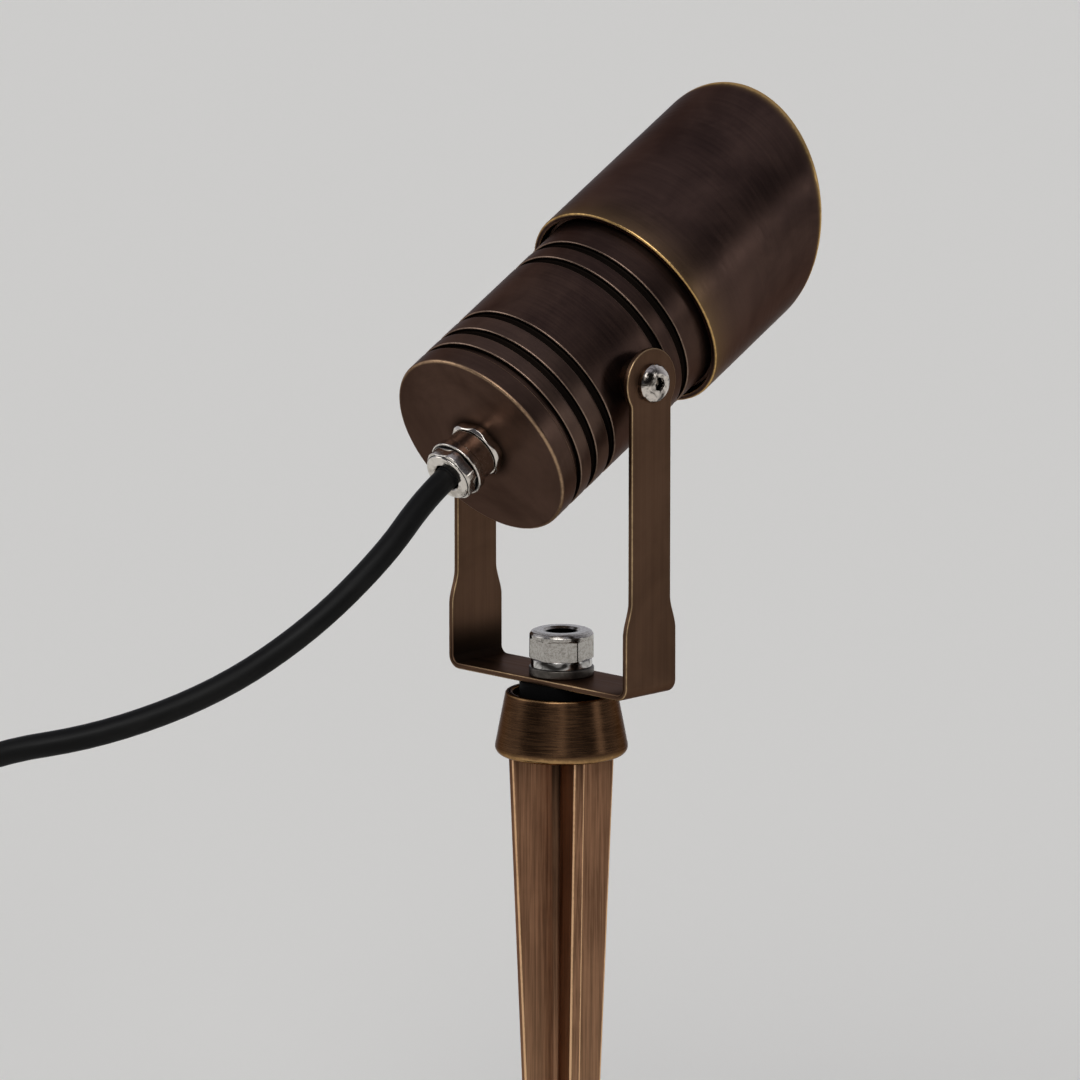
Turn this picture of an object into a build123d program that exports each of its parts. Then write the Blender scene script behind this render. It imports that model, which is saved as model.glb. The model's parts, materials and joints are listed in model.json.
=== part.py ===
from build123d import *
import os
from math import cos, pi, radians, sin, sqrt, tan

# Garden spike spotlight: a turned brass head in a stamped bracket, on a cone collar and a cross spike.
# The origin is the middle of the collar's underside, which is the ground line, and +Z is up.
# The pivot axis runs along X. At rest the head points along +Y and up.

# Head, measured along its axis from the flat rear face
TILT = 29.0                     # head axis above level at rest, degrees
PIVOT_SETBACK = 34.3            # rear face to pivot axis
BODY_D = 53.8
BORE_D = 45.0                   # main cavity
GROOVE_W = 2.0
GROOVE_DEPTH = 1.3
CAP_T = 5.9                     # rear cap's visible disc, up to the first groove
GROOVE_PITCH = 7.4              # between the rear grooves
BODY_GROOVES = 2                # rear grooves cut in the body; the joint with the cap makes one more
FRONT_GROOVE = 44.9             # start of the first front groove
FRONT_PITCH = 6.8
FRONT_GROOVES = 2
RIM_CHAMFER = 0.8
NOSE_START = 63.4               # nose that carries the cowl
NOSE_L = 12.6

# Cowl, a plain tube cut obliquely at the front
COWL_D = 60.0
COWL_WALL = 1.6
COWL_FIT = 0.3                  # all round, between cowl and nose
COWL_LIP = 60.9                 # rear face of the head to the cowl's rear lip
COWL_REACH = 45.9               # lip to the cut, along the axis
COWL_CUT = 27.5                 # slant of the cut, degrees
COWL_CLOCK = 14.0               # longest side turned from the top towards +X, degrees
COWL_LIP_FILLET = 0.9
COWL_STOP_W = 1.5               # inner shoulder that meets the nose
COWL_STOP_H = 1.4
O_RING_D = 2.2
O_RING_FIT = 0.1
COWL_RING_SETBACK = 7.0         # nose end to the ring's middle

# Lens, gasket, retaining ring and lamp
LENS_D = 52.4
LENS_T = 3.0
LENS_FIT = 0.2
LENS_LAP = 1.6                  # gasket width under the lens
GASKET_T = 1.0
LENS_RING_T = 1.7
LENS_RING_W = 2.2
THREAD_FIT = 0.05
LAMP_D = 50.0
LAMP_FIT = 0.3
LAMP_BORE_L = 12.3              # wide bore behind the lens seat
LAMP_L = 45.5
LAMP_SETBACK = 0.8              # lens seat to lamp rim
LAMP_RIM_T = 2.0
LAMP_NECK_D = 25.0
LAMP_NECK_L = 13.0
LAMP_BASE_D = 16.0
LAMP_BASE_L = 3.0
LAMP_FACE_T = 2.5
LAMP_FACE_MARGIN = 1.5
LAMP_SWELL = (0.4, 0.7)         # share of the step from neck to rim, at each third of the cone
PIN_D = 5.0
PIN_SPACING = 10.0
PIN_L = 6.5
HOLDER_D = 27.0
HOLDER_T = 9.0
HOLDER_FIT = 0.3                # round the lamp's pins

# Bridge that carries the lamp holder on the rear cap
BRIDGE_T = 1.2
BRIDGE_W = 10.0
BRIDGE_SPAN = 24.0
FOOT_L = 5.8
M3_D = 3.0
M3_HEAD_D = 5.4
M3_HEAD_H = 1.8
M3_GRIP = 3.0
HOLDER_GRIP = 1.5               # thread in the lamp holder
WIRE_FIT = 0.3                  # between wires and bridge
HOLDER_SCREW_X = 7.6
EARTH_SCREW_R = 13.6            # place of the earth screw, from the axis
EARTH_SCREW_ANGLE = 225.0
EARTH_SCREW_D = 4.0
EARTH_HEAD_D = 6.8
EARTH_HEAD_H = 2.2

# Rear cap's spigot
SPIGOT_FIT = 0.1
SPIGOT_WALL = 1.2
SPIGOT_L = 6.1
CAP_RING_SETBACK = 2.7          # spigot shoulder to the ring's middle

# Cable gland
CABLE_D = 6.4
CABLE_FIT = 0.2
GLAND_THREAD_D = 12.0
GLAND_HEX_AF = 15.0
GLAND_HEX_T = 2.6
GLAND_NUT_GAP = 0.3
GLAND_SKIRT_D = 14.0
GLAND_SKIRT_L = 5.1
GLAND_RIDGE_D = 15.3
GLAND_RIDGE_L = 2.2
GLAND_NUT_AF = 13.0
GLAND_NUT_L = 2.4
GLAND_DOME_L = 1.5
GLAND_DOME_IN = 1.3
GLAND_COLLET_D = 11.3           # threaded stem inside the nut
GLAND_MOUTH_FIT = 0.45
SEAL_L = 1.8
LOCKNUT_AF = 16.0
LOCKNUT_T = 2.5
GLAND_STEM_OUT = 0.5            # stem past the locknut
INLET_OUT = 0.6                 # sheath past the stem
CORE_D = 2.0
CORE_RING = 1.9                 # cores from the cable's middle

# Bracket, a stamped and bent strip
BRACKET_W = 64.8                # outside of one arm to outside of the other
STRIP_T = 1.6
BASE_W = 18.5
ARM_W = 14.4
EAR_D = 18.0
BEND_R = 3.6                    # outside of the bends
STEP_MID = 21.5                 # underside to the middle of the step between widths
STEP_H = 8.0
STEP_FILLET = 4.0
EAR_FILLET = 2.5
PIVOT_RISE = 82.5               # bracket's underside to pivot axis

# Pivot screws, spacers and washers
SCREW_D = 5.0
SCREW_HEAD_D = 10.2
SCREW_HEAD_H = 2.75
SCREW_RIM_H = 0.6               # straight edge of the button head
SCREW_CROWN_D = 5.4             # flat top of the button head
SOCKET_AF = 3.4
SOCKET_DEPTH = 1.6
SCREW_GRIP = 3.2                # thread in the body's wall
SCREW_FIT = 0.1                 # running fit in the ear
SPOT_DEPTH = 0.7                # flat spot sunk in the body's side, deeper where a spacer needs the room
SPACER_D = 12.0
SPACER_LEAST_L = 2.5
SPACER_FIT = 0.3
WAVE_T = 1.0
WAVE_D = 13.0

# Collar, stud, bush, washers and nut on the swivel axis
COLLAR_H = 16.6
COLLAR_BOTTOM_D = 35.6
COLLAR_TOP_D = 29.2
COLLAR_FILLET = 2.4
COLLAR_TOP_FILLET = 0.6
COLLAR_RECESS = 1.5
COLLAR_RIM = 1.8
BUSH_D = 22.0
BUSH_H = 4.4
STUD_D = 10.0
STUD_CORE_D = 8.4               # thread's core, inside the nut
STUD_FIT = 0.1
STUD_SHORT = 3.0                # stud's end below the nut's top
STUD_CHAMFER = 0.6
BOSS_D = 23.6
BOSS_H = 8.0
BOSS_FIT = 0.1
BOSS_FLOOR = 0.5
WASHER_D = 17.0
WASHER_T = 2.2
SPRING_D = 16.0
SPRING_T = 2.2
SPRING_GAP = 1.4                # split in the spring washer
NUT_AF = 14.8
NUT_H = 7.4
NUT_CHAMFER = 30.0              # degrees
NUT_MOUTH = 0.7                 # countersink of the nut's thread
NUT_TURN = 45.0                 # one flat midway between -Y and +X, degrees

# Spike, two tapered plates crossing
SPIKE_L = 170.0
SPIKE_SPAN = 28.4
SPIKE_END_SPAN = 16.0           # where the point begins
SPIKE_POINT_L = 20.0
SPIKE_TIP = 1.6
BLADE_T = 3.0
BLADE_FILLET = 1.5
SPIKE_TURN = -26.0              # one blade from +X, degrees

# Cable: free stretch by hand-chosen points after the straight exit, then a tied coil
EXIT_RUN = 9.0
CABLE_ROUTE = [
    (0.5, -65.0, 61.5),
    (-7.0, -84.0, 44.0),
    (-19.5, -105.0, 29.0),
    (-38.0, -128.0, 18.5),
    (-58.5, -148.5, 14.0),
    (-84.0, -158.5, -1.0),
    (-115.0, -155.5, -30.0),
    (-139.0, -138.0, -70.0),
    (-152.5, -108.5, -109.0),
    (-152.5, -73.0, -138.5),
    (-137.0, -39.0, -155.5),
    (-109.6, -11.8, -161.6),
    (-83.3, -2.2, -161.6),
]
BEND_SHARE = 0.45               # share of the shorter run that a bend takes up
COIL_R = 43.0                   # outer turn, to the cable's middle
COIL_GAP = 0.6
COIL_HALF_TURNS = 4             # in each layer, with one more for the climb
COIL_CLIMB_IN = 1.4             # extra step inwards where the coil climbs
TIE_T = 1.2
TIE_W = 6.0
TIE_FIT = 0.7
CORE_STRAIGHT = 8.7             # bare core before it fans out
CORE_REACH = 20.8               # sheath's end to the core's end, along the sheath
CORE_SPREAD = 4.0
CORE_DROP = 5.5
FERRULE_D = 1.5
FERRULE_L = 8.0
TAIL_CORE_RING = 2.0

# Derived places along the head's axis
body_r = BODY_D / 2
bore_r = BORE_D / 2
body_back = CAP_T + GROOVE_W
nose_end = NOSE_START + NOSE_L
nose_r = COWL_D / 2 - COWL_WALL - COWL_FIT
seat_depth = GASKET_T + LENS_T + LENS_RING_T
lens_seat = nose_end - seat_depth
seat_r = LENS_D / 2 + LENS_FIT
lamp_front = lens_seat - LAMP_SETBACK
lamp_back = lamp_front - LAMP_L
lamp_bore_r = LAMP_D / 2 + LAMP_FIT
lamp_bore_start = lens_seat - LAMP_BORE_L
holder_back = lamp_back - HOLDER_T
spigot_r = bore_r - SPIGOT_FIT
spigot_end = body_back + SPIGOT_L
cable_r = CABLE_D / 2
gland_bore_r = cable_r + CABLE_FIT
nut_front = -GLAND_HEX_T - GLAND_NUT_GAP
skirt_end = nut_front - GLAND_SKIRT_L
ridge_end = skirt_end - GLAND_RIDGE_L
hex_end = ridge_end - GLAND_NUT_L
gland_end = hex_end - GLAND_DOME_L
stem_end = CAP_T + LOCKNUT_T + GLAND_STEM_OUT
inlet_end = stem_end + INLET_OUT

# Derived heights on the swivel axis
bracket_z = COLLAR_H - COLLAR_RECESS + BUSH_H
washer_z = bracket_z + STRIP_T
spring_z = washer_z + WASHER_T
nut_z = spring_z + SPRING_T
nut_top = nut_z + NUT_H
pivot_z = bracket_z + PIVOT_RISE
ear_in = BRACKET_W / 2 - STRIP_T
spot_x = min(body_r - SPOT_DEPTH, ear_in - WAVE_T - SPACER_LEAST_L)

tilt = radians(TILT)
forward = Vector(0, cos(tilt), sin(tilt))
# Local X is -X, local Y is up across the head, local Z runs forward from the rear face.
head_frame = Plane(Vector(0, 0, pivot_z) - forward * PIVOT_SETBACK, x_dir=(-1, 0, 0), z_dir=forward)


def turned(*profile):
    """Solid turned about local Z from a closed outline of (radius, height) points."""
    return revolve(Plane.XZ * make_face(Polyline(*profile, close=True)), Axis.Z)


def rod(diameter, bottom, top, x=0.0, y=0.0):
    """Round bar along local Z between two heights."""
    bar = Cylinder(diameter / 2, top - bottom, align=(Align.CENTER, Align.CENTER, Align.MIN))
    return Pos(x, y, bottom) * bar


def tube(outer, inner, bottom, top):
    """Round tube along local Z between two heights."""
    return rod(outer, bottom, top) - rod(inner, bottom, top)


def hexagon(across_flats, bottom, top, turn=0.0):
    """Hexagonal bar along local Z between two heights."""
    outline = RegularPolygon(across_flats / 2, 6, major_radius=False, rotation=turn)
    return Pos(0, 0, bottom) * extrude(outline, top - bottom)


def o_ring(ring_d, section_d, height):
    """Round-section ring about local Z, with its outer diameter given."""
    return Pos(0, 0, height) * Torus((ring_d - section_d) / 2, section_d / 2)


def swept(points, radii, diameter):
    """Round tube along straight runs joined by tangent arcs."""
    path = FilletPolyline(*points, radius=radii) if radii else Line(*points)
    section = Plane(path @ 0, z_dir=path % 0) * Circle(diameter / 2)
    return sweep(section, path=path), path.length


def bend_radii(points, share):
    """Largest arc at each corner that leaves its two runs some straight."""
    radii = []
    for before, corner, after in zip(points, points[1:], points[2:]):
        run_in = Vector(corner) - Vector(before)
        run_out = Vector(after) - Vector(corner)
        half_turn = radians(run_in.get_angle(run_out)) / 2
        radii.append(share * min(run_in.length, run_out.length) / tan(half_turn))
    return radii


# Turned head

def make_lamp_body():
    outer_r = body_r
    profile = [(bore_r, body_back), (outer_r, body_back)]
    starts = [CAP_T + GROOVE_PITCH * (k + 1) for k in range(BODY_GROOVES)]
    starts += [FRONT_GROOVE + FRONT_PITCH * k for k in range(FRONT_GROOVES)]
    for start in starts:
        floor_r = outer_r - GROOVE_DEPTH
        profile += [(outer_r, start), (floor_r, start)]
        profile += [(floor_r, start + GROOVE_W), (outer_r, start + GROOVE_W)]
    profile += [(outer_r, NOSE_START), (nose_r, NOSE_START), (nose_r, nose_end), (seat_r, nose_end)]
    profile += [(seat_r, lens_seat), (lamp_bore_r, lens_seat), (lamp_bore_r, lamp_bore_start)]
    profile += [(bore_r, lamp_bore_start)]
    body = turned(*profile)
    ring_mid = nose_end - COWL_RING_SETBACK
    ring_out = COWL_D - 2 * COWL_WALL - 2 * O_RING_FIT
    body -= tube(2 * nose_r + O_RING_D, ring_out - 2 * O_RING_D - 2 * O_RING_FIT,
                 ring_mid - O_RING_D / 2 - O_RING_FIT, ring_mid + O_RING_D / 2 + O_RING_FIT)
    for side in (-1, 1):
        across = Plane((side * spot_x, 0, PIVOT_SETBACK), z_dir=(side, 0, 0))
        body -= across * rod(SPACER_D + 2 * SPACER_FIT, 0, body_r - spot_x + SPACER_FIT)
        body -= across * rod(SCREW_D + 2 * THREAD_FIT, -SCREW_GRIP - THREAD_FIT, 0)
    return body


def make_rear_cap():
    ring_mid = body_back + CAP_RING_SETBACK
    ring_floor = spigot_r - O_RING_D + O_RING_FIT
    neck_r = body_r - GROOVE_DEPTH
    ring_half = O_RING_D / 2 + O_RING_FIT
    hole_r = GLAND_THREAD_D / 2 + THREAD_FIT
    cup_r = spigot_r - O_RING_D - SPIGOT_WALL
    cap = turned((hole_r, 0), (body_r - RIM_CHAMFER, 0), (body_r, RIM_CHAMFER), (body_r, CAP_T),
                 (neck_r, CAP_T), (neck_r, body_back), (spigot_r, body_back),
                 (spigot_r, ring_mid - ring_half), (ring_floor, ring_mid - ring_half),
                 (ring_floor, ring_mid + ring_half),
                 (spigot_r, ring_mid + ring_half), (spigot_r, spigot_end), (cup_r, spigot_end),
                 (cup_r, CAP_T), (hole_r, CAP_T))
    for x in bridge_screw_places():
        cap -= rod(M3_D + 2 * THREAD_FIT, CAP_T - M3_GRIP, CAP_T, x)
    ex, ey = earth_place()
    return cap - rod(EARTH_SCREW_D + 2 * THREAD_FIT, CAP_T - M3_GRIP, CAP_T, ex, ey)


def make_cowl():
    outer_r = COWL_D / 2
    inner_r = outer_r - COWL_WALL
    reach = COWL_LIP + COWL_REACH
    top = reach + outer_r * tan(radians(COWL_CUT))
    stop = nose_end + COWL_FIT
    shell = turned((inner_r, COWL_LIP), (outer_r, COWL_LIP), (outer_r, top), (inner_r, top),
                   (inner_r, stop + COWL_STOP_W), (inner_r - COWL_STOP_H, stop + COWL_STOP_W),
                   (inner_r - COWL_STOP_H, stop), (inner_r, stop))
    lip = shell.edges().filter_by(GeomType.CIRCLE).group_by(Axis.Z)[0].sort_by(SortBy.RADIUS)[-1]
    shell = fillet(lip, COWL_LIP_FILLET)
    clock = radians(COWL_CLOCK)
    slant = radians(COWL_CUT)
    longest = Vector(-sin(clock), cos(clock), 0)
    cut_normal = Vector(0, 0, cos(slant)) - longest * sin(slant)
    return split(shell, bisect_by=Plane((0, 0, reach), z_dir=cut_normal), keep=Keep.BOTTOM)


def make_lens_parts():
    gasket_top = lens_seat + GASKET_T
    lens_top = gasket_top + LENS_T
    thread_r = seat_r - THREAD_FIT
    cowl_ring_d = COWL_D - 2 * COWL_WALL - 2 * O_RING_FIT
    return {
        "lens_gasket": tube(LENS_D, LENS_D - 2 * LENS_LAP, lens_seat, gasket_top),
        "front_lens": chamfer(rod(LENS_D, gasket_top, lens_top).edges(), LENS_FIT),
        "lens_ring": tube(2 * thread_r, 2 * (thread_r - LENS_RING_W), lens_top, nose_end),
        "cowl_o_ring": o_ring(cowl_ring_d, O_RING_D, nose_end - COWL_RING_SETBACK),
        "rear_cap_o_ring": o_ring(2 * (bore_r - O_RING_FIT), O_RING_D - 2 * O_RING_FIT,
                                  body_back + CAP_RING_SETBACK),
    }


# Lamp, its holder and the wiring inside

def make_lamp_parts():
    rim_r = LAMP_D / 2
    neck_r = LAMP_NECK_D / 2
    base_r = LAMP_BASE_D / 2
    rim_back = lamp_front - LAMP_RIM_T
    base_top = lamp_back + LAMP_BASE_L
    neck_top = base_top + LAMP_NECK_L
    face_r = rim_r - LAMP_FACE_MARGIN
    step = rim_r - neck_r
    third = (rim_back - neck_top) / (len(LAMP_SWELL) + 1)
    cone = [(neck_r + step * share, neck_top + third * (k + 1)) for k, share in enumerate(LAMP_SWELL)]
    housing = turned((0, lamp_back), (base_r, lamp_back), (base_r, base_top), (neck_r, base_top),
                     (neck_r, neck_top), *cone, (rim_r - LAMP_FACE_MARGIN / 2, rim_back), (rim_r, rim_back),
                     (rim_r, lamp_front), (face_r, lamp_front), (face_r, lamp_front - LAMP_FACE_T),
                     (0, lamp_front - LAMP_FACE_T))
    holder = rod(HOLDER_D, holder_back, lamp_back)
    pins = []
    for side in (-1, 1):
        pins.append(rod(PIN_D, lamp_back - PIN_L, lamp_back, side * PIN_SPACING / 2))
        hole_d = PIN_D + 2 * HOLDER_FIT
        holder -= rod(hole_d, lamp_back - PIN_L - HOLDER_FIT, lamp_back, side * PIN_SPACING / 2)
        holder -= rod(M3_D + 2 * THREAD_FIT, holder_back, holder_back + HOLDER_GRIP, side * HOLDER_SCREW_X)
    return {
        "lamp_housing": housing,
        "lamp_face": rod(2 * face_r, lamp_front - LAMP_FACE_T, lamp_front),
        "lamp_pins": Compound(pins),
        "lamp_holder": holder,
    }


def bridge_screw_places():
    middle = BRIDGE_SPAN / 2 + FOOT_L / 2
    return (-middle, middle)


def earth_place():
    angle = radians(EARTH_SCREW_ANGLE)
    return EARTH_SCREW_R * cos(angle), EARTH_SCREW_R * sin(angle)


def pan_screw(shank_d, head_d, head_h, grip):
    """Pan-head screw with its seat at height 0 and a slot half as deep as the head."""
    screw = rod(head_d, 0, head_h) + rod(shank_d, -grip, 0)
    slot = Box(head_d, head_h / 3, head_h / 2, align=(Align.CENTER, Align.CENTER, Align.MAX))
    return screw - Pos(0, 0, head_h) * slot


def make_bridge_parts():
    deck_z = holder_back - BRIDGE_T
    half = BRIDGE_SPAN / 2
    foot_top = CAP_T + BRIDGE_T
    foot_end = half + FOOT_L
    inner = half - BRIDGE_T
    outline = Polyline((-foot_end, CAP_T), (-foot_end, foot_top), (-half, foot_top), (-half, holder_back),
                       (half, holder_back), (half, foot_top), (foot_end, foot_top), (foot_end, CAP_T),
                       (inner, CAP_T), (inner, deck_z), (-inner, deck_z), (-inner, CAP_T), close=True)
    bridge = extrude(Plane.XZ * make_face(outline), BRIDGE_W / 2, both=True)
    feet, holders = [], []
    for x in bridge_screw_places():
        bridge -= rod(M3_D + 2 * THREAD_FIT, CAP_T, CAP_T + BRIDGE_T, x)
        feet.append(Pos(x, 0, CAP_T + BRIDGE_T) * pan_screw(M3_D, M3_HEAD_D, M3_HEAD_H, M3_GRIP))
    for x in (-HOLDER_SCREW_X, HOLDER_SCREW_X):
        bridge -= rod(M3_D + 2 * THREAD_FIT, deck_z, holder_back, x)
        screw = pan_screw(M3_D, M3_HEAD_D, M3_HEAD_H, BRIDGE_T + HOLDER_GRIP)
        holders.append(Pos(x, 0, deck_z) * Rot(180, 0, 0) * screw)
    ex, ey = earth_place()
    return {
        "holder_bridge": bridge,
        "bridge_screws": Compound(feet),
        "holder_screws": Compound(holders),
        "earth_screw": Pos(ex, ey, CAP_T) * pan_screw(EARTH_SCREW_D, EARTH_HEAD_D, EARTH_HEAD_H, M3_GRIP),
    }


def make_wires():
    rise = CORE_D
    side_y = BRIDGE_W / 2 + CORE_D + WIRE_FIT
    parts = {}
    for name, side in (("wire_live", 1), ("wire_neutral", -1)):
        points = [(0, side * CORE_RING, inlet_end), (0, side * CORE_RING, inlet_end + rise / 2),
                  (0, side * side_y, holder_back - rise), (0, side * side_y, holder_back)]
        parts[name] = swept(points, bend_radii(points, BEND_SHARE), CORE_D)[0]
    ex, ey = earth_place()
    top = inlet_end + rise
    head_top = CAP_T + EARTH_HEAD_H
    points = [(-CORE_RING, 0, inlet_end), (-CORE_RING, 0, top), (ex, ey, top), (ex, ey, head_top)]
    parts["wire_earth"] = swept(points, bend_radii(points, BEND_SHARE), CORE_D)[0]
    return parts


# Cable gland in the rear cap

def make_gland_parts():
    stem_back = ridge_end
    body = hexagon(GLAND_HEX_AF, -GLAND_HEX_T, 0)
    body += rod(GLAND_THREAD_D, 0, stem_end)
    body += rod(GLAND_COLLET_D, stem_back, -GLAND_HEX_T)
    body -= rod(2 * gland_bore_r, stem_back, stem_end)
    nut_bore = GLAND_COLLET_D + 2 * THREAD_FIT
    seal_back = stem_back - SEAL_L
    mouth = CABLE_D + 2 * GLAND_MOUTH_FIT
    skirt_r = GLAND_SKIRT_D / 2
    ridge_r = GLAND_RIDGE_D / 2
    corner_r = GLAND_NUT_AF / sqrt(3)
    dome_r = GLAND_NUT_AF / 2
    blank = turned((0, gland_end), (dome_r - GLAND_DOME_IN, gland_end),
                   (dome_r, hex_end + GLAND_DOME_IN / 2), (corner_r, hex_end + GLAND_DOME_IN),
                   (corner_r, ridge_end), (0, ridge_end))
    nut = blank & hexagon(GLAND_NUT_AF, gland_end, ridge_end)
    nut += turned((0, ridge_end), (ridge_r, ridge_end), (ridge_r, skirt_end), (skirt_r, skirt_end),
                  (skirt_r, nut_front), (0, nut_front))
    nut -= rod(nut_bore, seal_back, nut_front)
    nut -= rod(mouth, gland_end, seal_back)
    locknut = hexagon(LOCKNUT_AF, CAP_T, CAP_T + LOCKNUT_T)
    return {
        "gland_body": body,
        "gland_nut": nut,
        "gland_seal": tube(GLAND_COLLET_D, CABLE_D + CABLE_FIT, seal_back, stem_back),
        "gland_locknut": locknut - rod(GLAND_THREAD_D + 2 * THREAD_FIT, CAP_T, CAP_T + LOCKNUT_T),
        "cable_inlet": rod(CABLE_D, gland_end, inlet_end),
    }


# Pivot between head and bracket

def make_pivot_parts():
    spacer_end = ear_in - WAVE_T
    head_r = SCREW_HEAD_D / 2
    crown_r = SCREW_CROWN_D / 2
    shank_r = SCREW_D / 2
    seat = BRACKET_W / 2
    tip = spot_x - SCREW_GRIP
    screw = turned((0, tip), (shank_r, tip), (shank_r, seat), (head_r, seat), (head_r, seat + SCREW_RIM_H),
                   (crown_r, seat + SCREW_HEAD_H), (0, seat + SCREW_HEAD_H))
    crown = screw.edges().filter_by(GeomType.CIRCLE).group_by(Axis.Z)[-2:]
    screw = fillet(crown[0] + crown[1], SCREW_RIM_H / 2)
    screw -= hexagon(SOCKET_AF, seat + SCREW_HEAD_H - SOCKET_DEPTH, seat + SCREW_HEAD_H)
    hole = SCREW_D + 2 * SCREW_FIT
    spacer = tube(SPACER_D, hole, spot_x, spacer_end)
    wave = tube(WAVE_D, hole, spacer_end, ear_in)
    groups = {"pivot_screws": screw, "pivot_spacers": spacer, "pivot_washers": wave}
    parts = {}
    for name, piece in groups.items():
        pair = [Plane((0, 0, pivot_z), x_dir=(0, 1, 0), z_dir=(side, 0, 0)) * piece for side in (-1, 1)]
        parts[name] = Compound(pair)
    return parts


def make_bracket():
    half = BRACKET_W / 2
    height = PIVOT_RISE + EAR_D
    strip = Rectangle(BRACKET_W, height, align=(Align.CENTER, Align.MIN))
    strip = fillet(strip.vertices().group_by(Axis.Y)[0], BEND_R)
    inside = Pos(0, STRIP_T) * Rectangle(BRACKET_W - 2 * STRIP_T, height, align=(Align.CENTER, Align.MIN))
    inside = fillet(inside.vertices().group_by(Axis.Y)[0], BEND_R - STRIP_T)
    bent = extrude(Plane.XZ * (strip - inside), BASE_W, both=True)
    wide_top = STEP_MID - STEP_H / 2
    narrow_from = STEP_MID + STEP_H / 2
    base = BASE_W / 2
    arm = ARM_W / 2
    outline = make_face(Polyline((-base, 0), (base, 0), (base, wide_top), (arm, narrow_from),
                                 (arm, PIVOT_RISE), (-arm, PIVOT_RISE), (-arm, narrow_from),
                                 (-base, wide_top), close=True))
    steps = outline.vertices().filter_by_position(Axis.Y, wide_top - STEP_FILLET, narrow_from + STEP_FILLET)
    outline = fillet(steps, STEP_FILLET)
    outline += Pos(0, PIVOT_RISE) * Circle(EAR_D / 2)
    necks = outline.vertices().filter_by_position(Axis.Y, narrow_from + EAR_D / 2, PIVOT_RISE - STRIP_T)
    outline = fillet(necks, EAR_FILLET)
    bracket = bent & extrude(Plane.YZ * outline, half, both=True)
    bracket -= rod(STUD_D + 2 * STUD_FIT, 0, STRIP_T)
    pivot_hole = rod(SCREW_D + 2 * SCREW_FIT, -half, half)
    bracket -= Plane((0, 0, PIVOT_RISE), z_dir=(1, 0, 0)) * pivot_hole
    return Pos(0, 0, bracket_z) * bracket


# Swivel stack, collar and spike

def make_nut():
    corner_r = NUT_AF / sqrt(3)
    drop = (corner_r - NUT_AF / 2) * tan(radians(NUT_CHAMFER))
    blank = turned((0, nut_z), (corner_r, nut_z), (corner_r, nut_top - drop), (NUT_AF / 2, nut_top),
                   (0, nut_top))
    bore_d = STUD_CORE_D + 2 * THREAD_FIT
    thread_r = bore_d / 2
    mouth_z = nut_top - NUT_MOUTH
    mouth = turned((0, mouth_z), (thread_r, mouth_z), (thread_r + NUT_MOUTH, nut_top), (0, nut_top))
    return (blank & hexagon(NUT_AF, nut_z, nut_top, NUT_TURN)) - rod(bore_d, nut_z, nut_top) - mouth


def make_swivel_parts():
    stud_low = BOSS_FLOOR
    stud_top = nut_top - STUD_SHORT
    stud_r = STUD_D / 2
    core_r = STUD_CORE_D / 2
    stud = turned((0, stud_low), (stud_r, stud_low), (stud_r, nut_z), (core_r, nut_z),
                  (core_r, stud_top - STUD_CHAMFER), (core_r - STUD_CHAMFER, stud_top), (0, stud_top))
    hole_d = STUD_D + 2 * STUD_FIT
    spring = tube(SPRING_D, hole_d, spring_z, nut_z)
    spring -= Pos(SPRING_D / 2, 0, spring_z + SPRING_T / 2) * Box(SPRING_D, SPRING_GAP, SPRING_T)
    collar_floor = COLLAR_H - COLLAR_RECESS
    bottom_r = COLLAR_BOTTOM_D / 2
    top_r = COLLAR_TOP_D / 2
    socket_r = BOSS_D / 2 + BOSS_FIT
    collar = turned((socket_r, 0), (bottom_r, 0), (top_r, COLLAR_H), (top_r - COLLAR_RIM, COLLAR_H),
                    (top_r - COLLAR_RIM, collar_floor), (hole_d / 2, collar_floor), (hole_d / 2, BOSS_H),
                    (socket_r, BOSS_H))
    rings = collar.edges().filter_by(GeomType.CIRCLE)
    collar = fillet(rings.group_by(Axis.Z)[0].sort_by(SortBy.RADIUS)[-1], COLLAR_FILLET)
    rings = collar.edges().filter_by(GeomType.CIRCLE)
    collar = fillet(rings.group_by(Axis.Z)[-1].sort_by(SortBy.RADIUS)[-1], COLLAR_TOP_FILLET)
    return {
        "swivel_stud": stud,
        "swivel_nut": make_nut(),
        "spring_washer": spring,
        "flat_washer": tube(WASHER_D, hole_d, washer_z, spring_z),
        "swivel_bush": tube(BUSH_D, hole_d, collar_floor, bracket_z),
        "collar": collar,
    }


def make_spike():
    top = SPIKE_SPAN / 2
    end = SPIKE_END_SPAN / 2
    tip = SPIKE_TIP / 2
    shoulder = SPIKE_POINT_L - SPIKE_L
    section = Rectangle(SPIKE_SPAN, BLADE_T) + Rectangle(BLADE_T, SPIKE_SPAN)
    inner = section.vertices().sort_by_distance((0, 0, 0))[:4]
    cross = extrude(fillet(inner, BLADE_FILLET), -SPIKE_L)
    outline = make_face(Polyline((-top, 0), (top, 0), (end, shoulder), (tip, -SPIKE_L), (-tip, -SPIKE_L),
                                 (-end, shoulder), close=True))
    taper = extrude(Plane.XZ * outline, top, both=True) & extrude(Plane.YZ * outline, top, both=True)
    boss = rod(BOSS_D, 0, BOSS_H) - rod(STUD_D + 2 * THREAD_FIT, BOSS_FLOOR, BOSS_H)
    return Rot(0, 0, SPIKE_TURN) * ((cross & taper) + boss)


# Cable outside the gland

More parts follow.
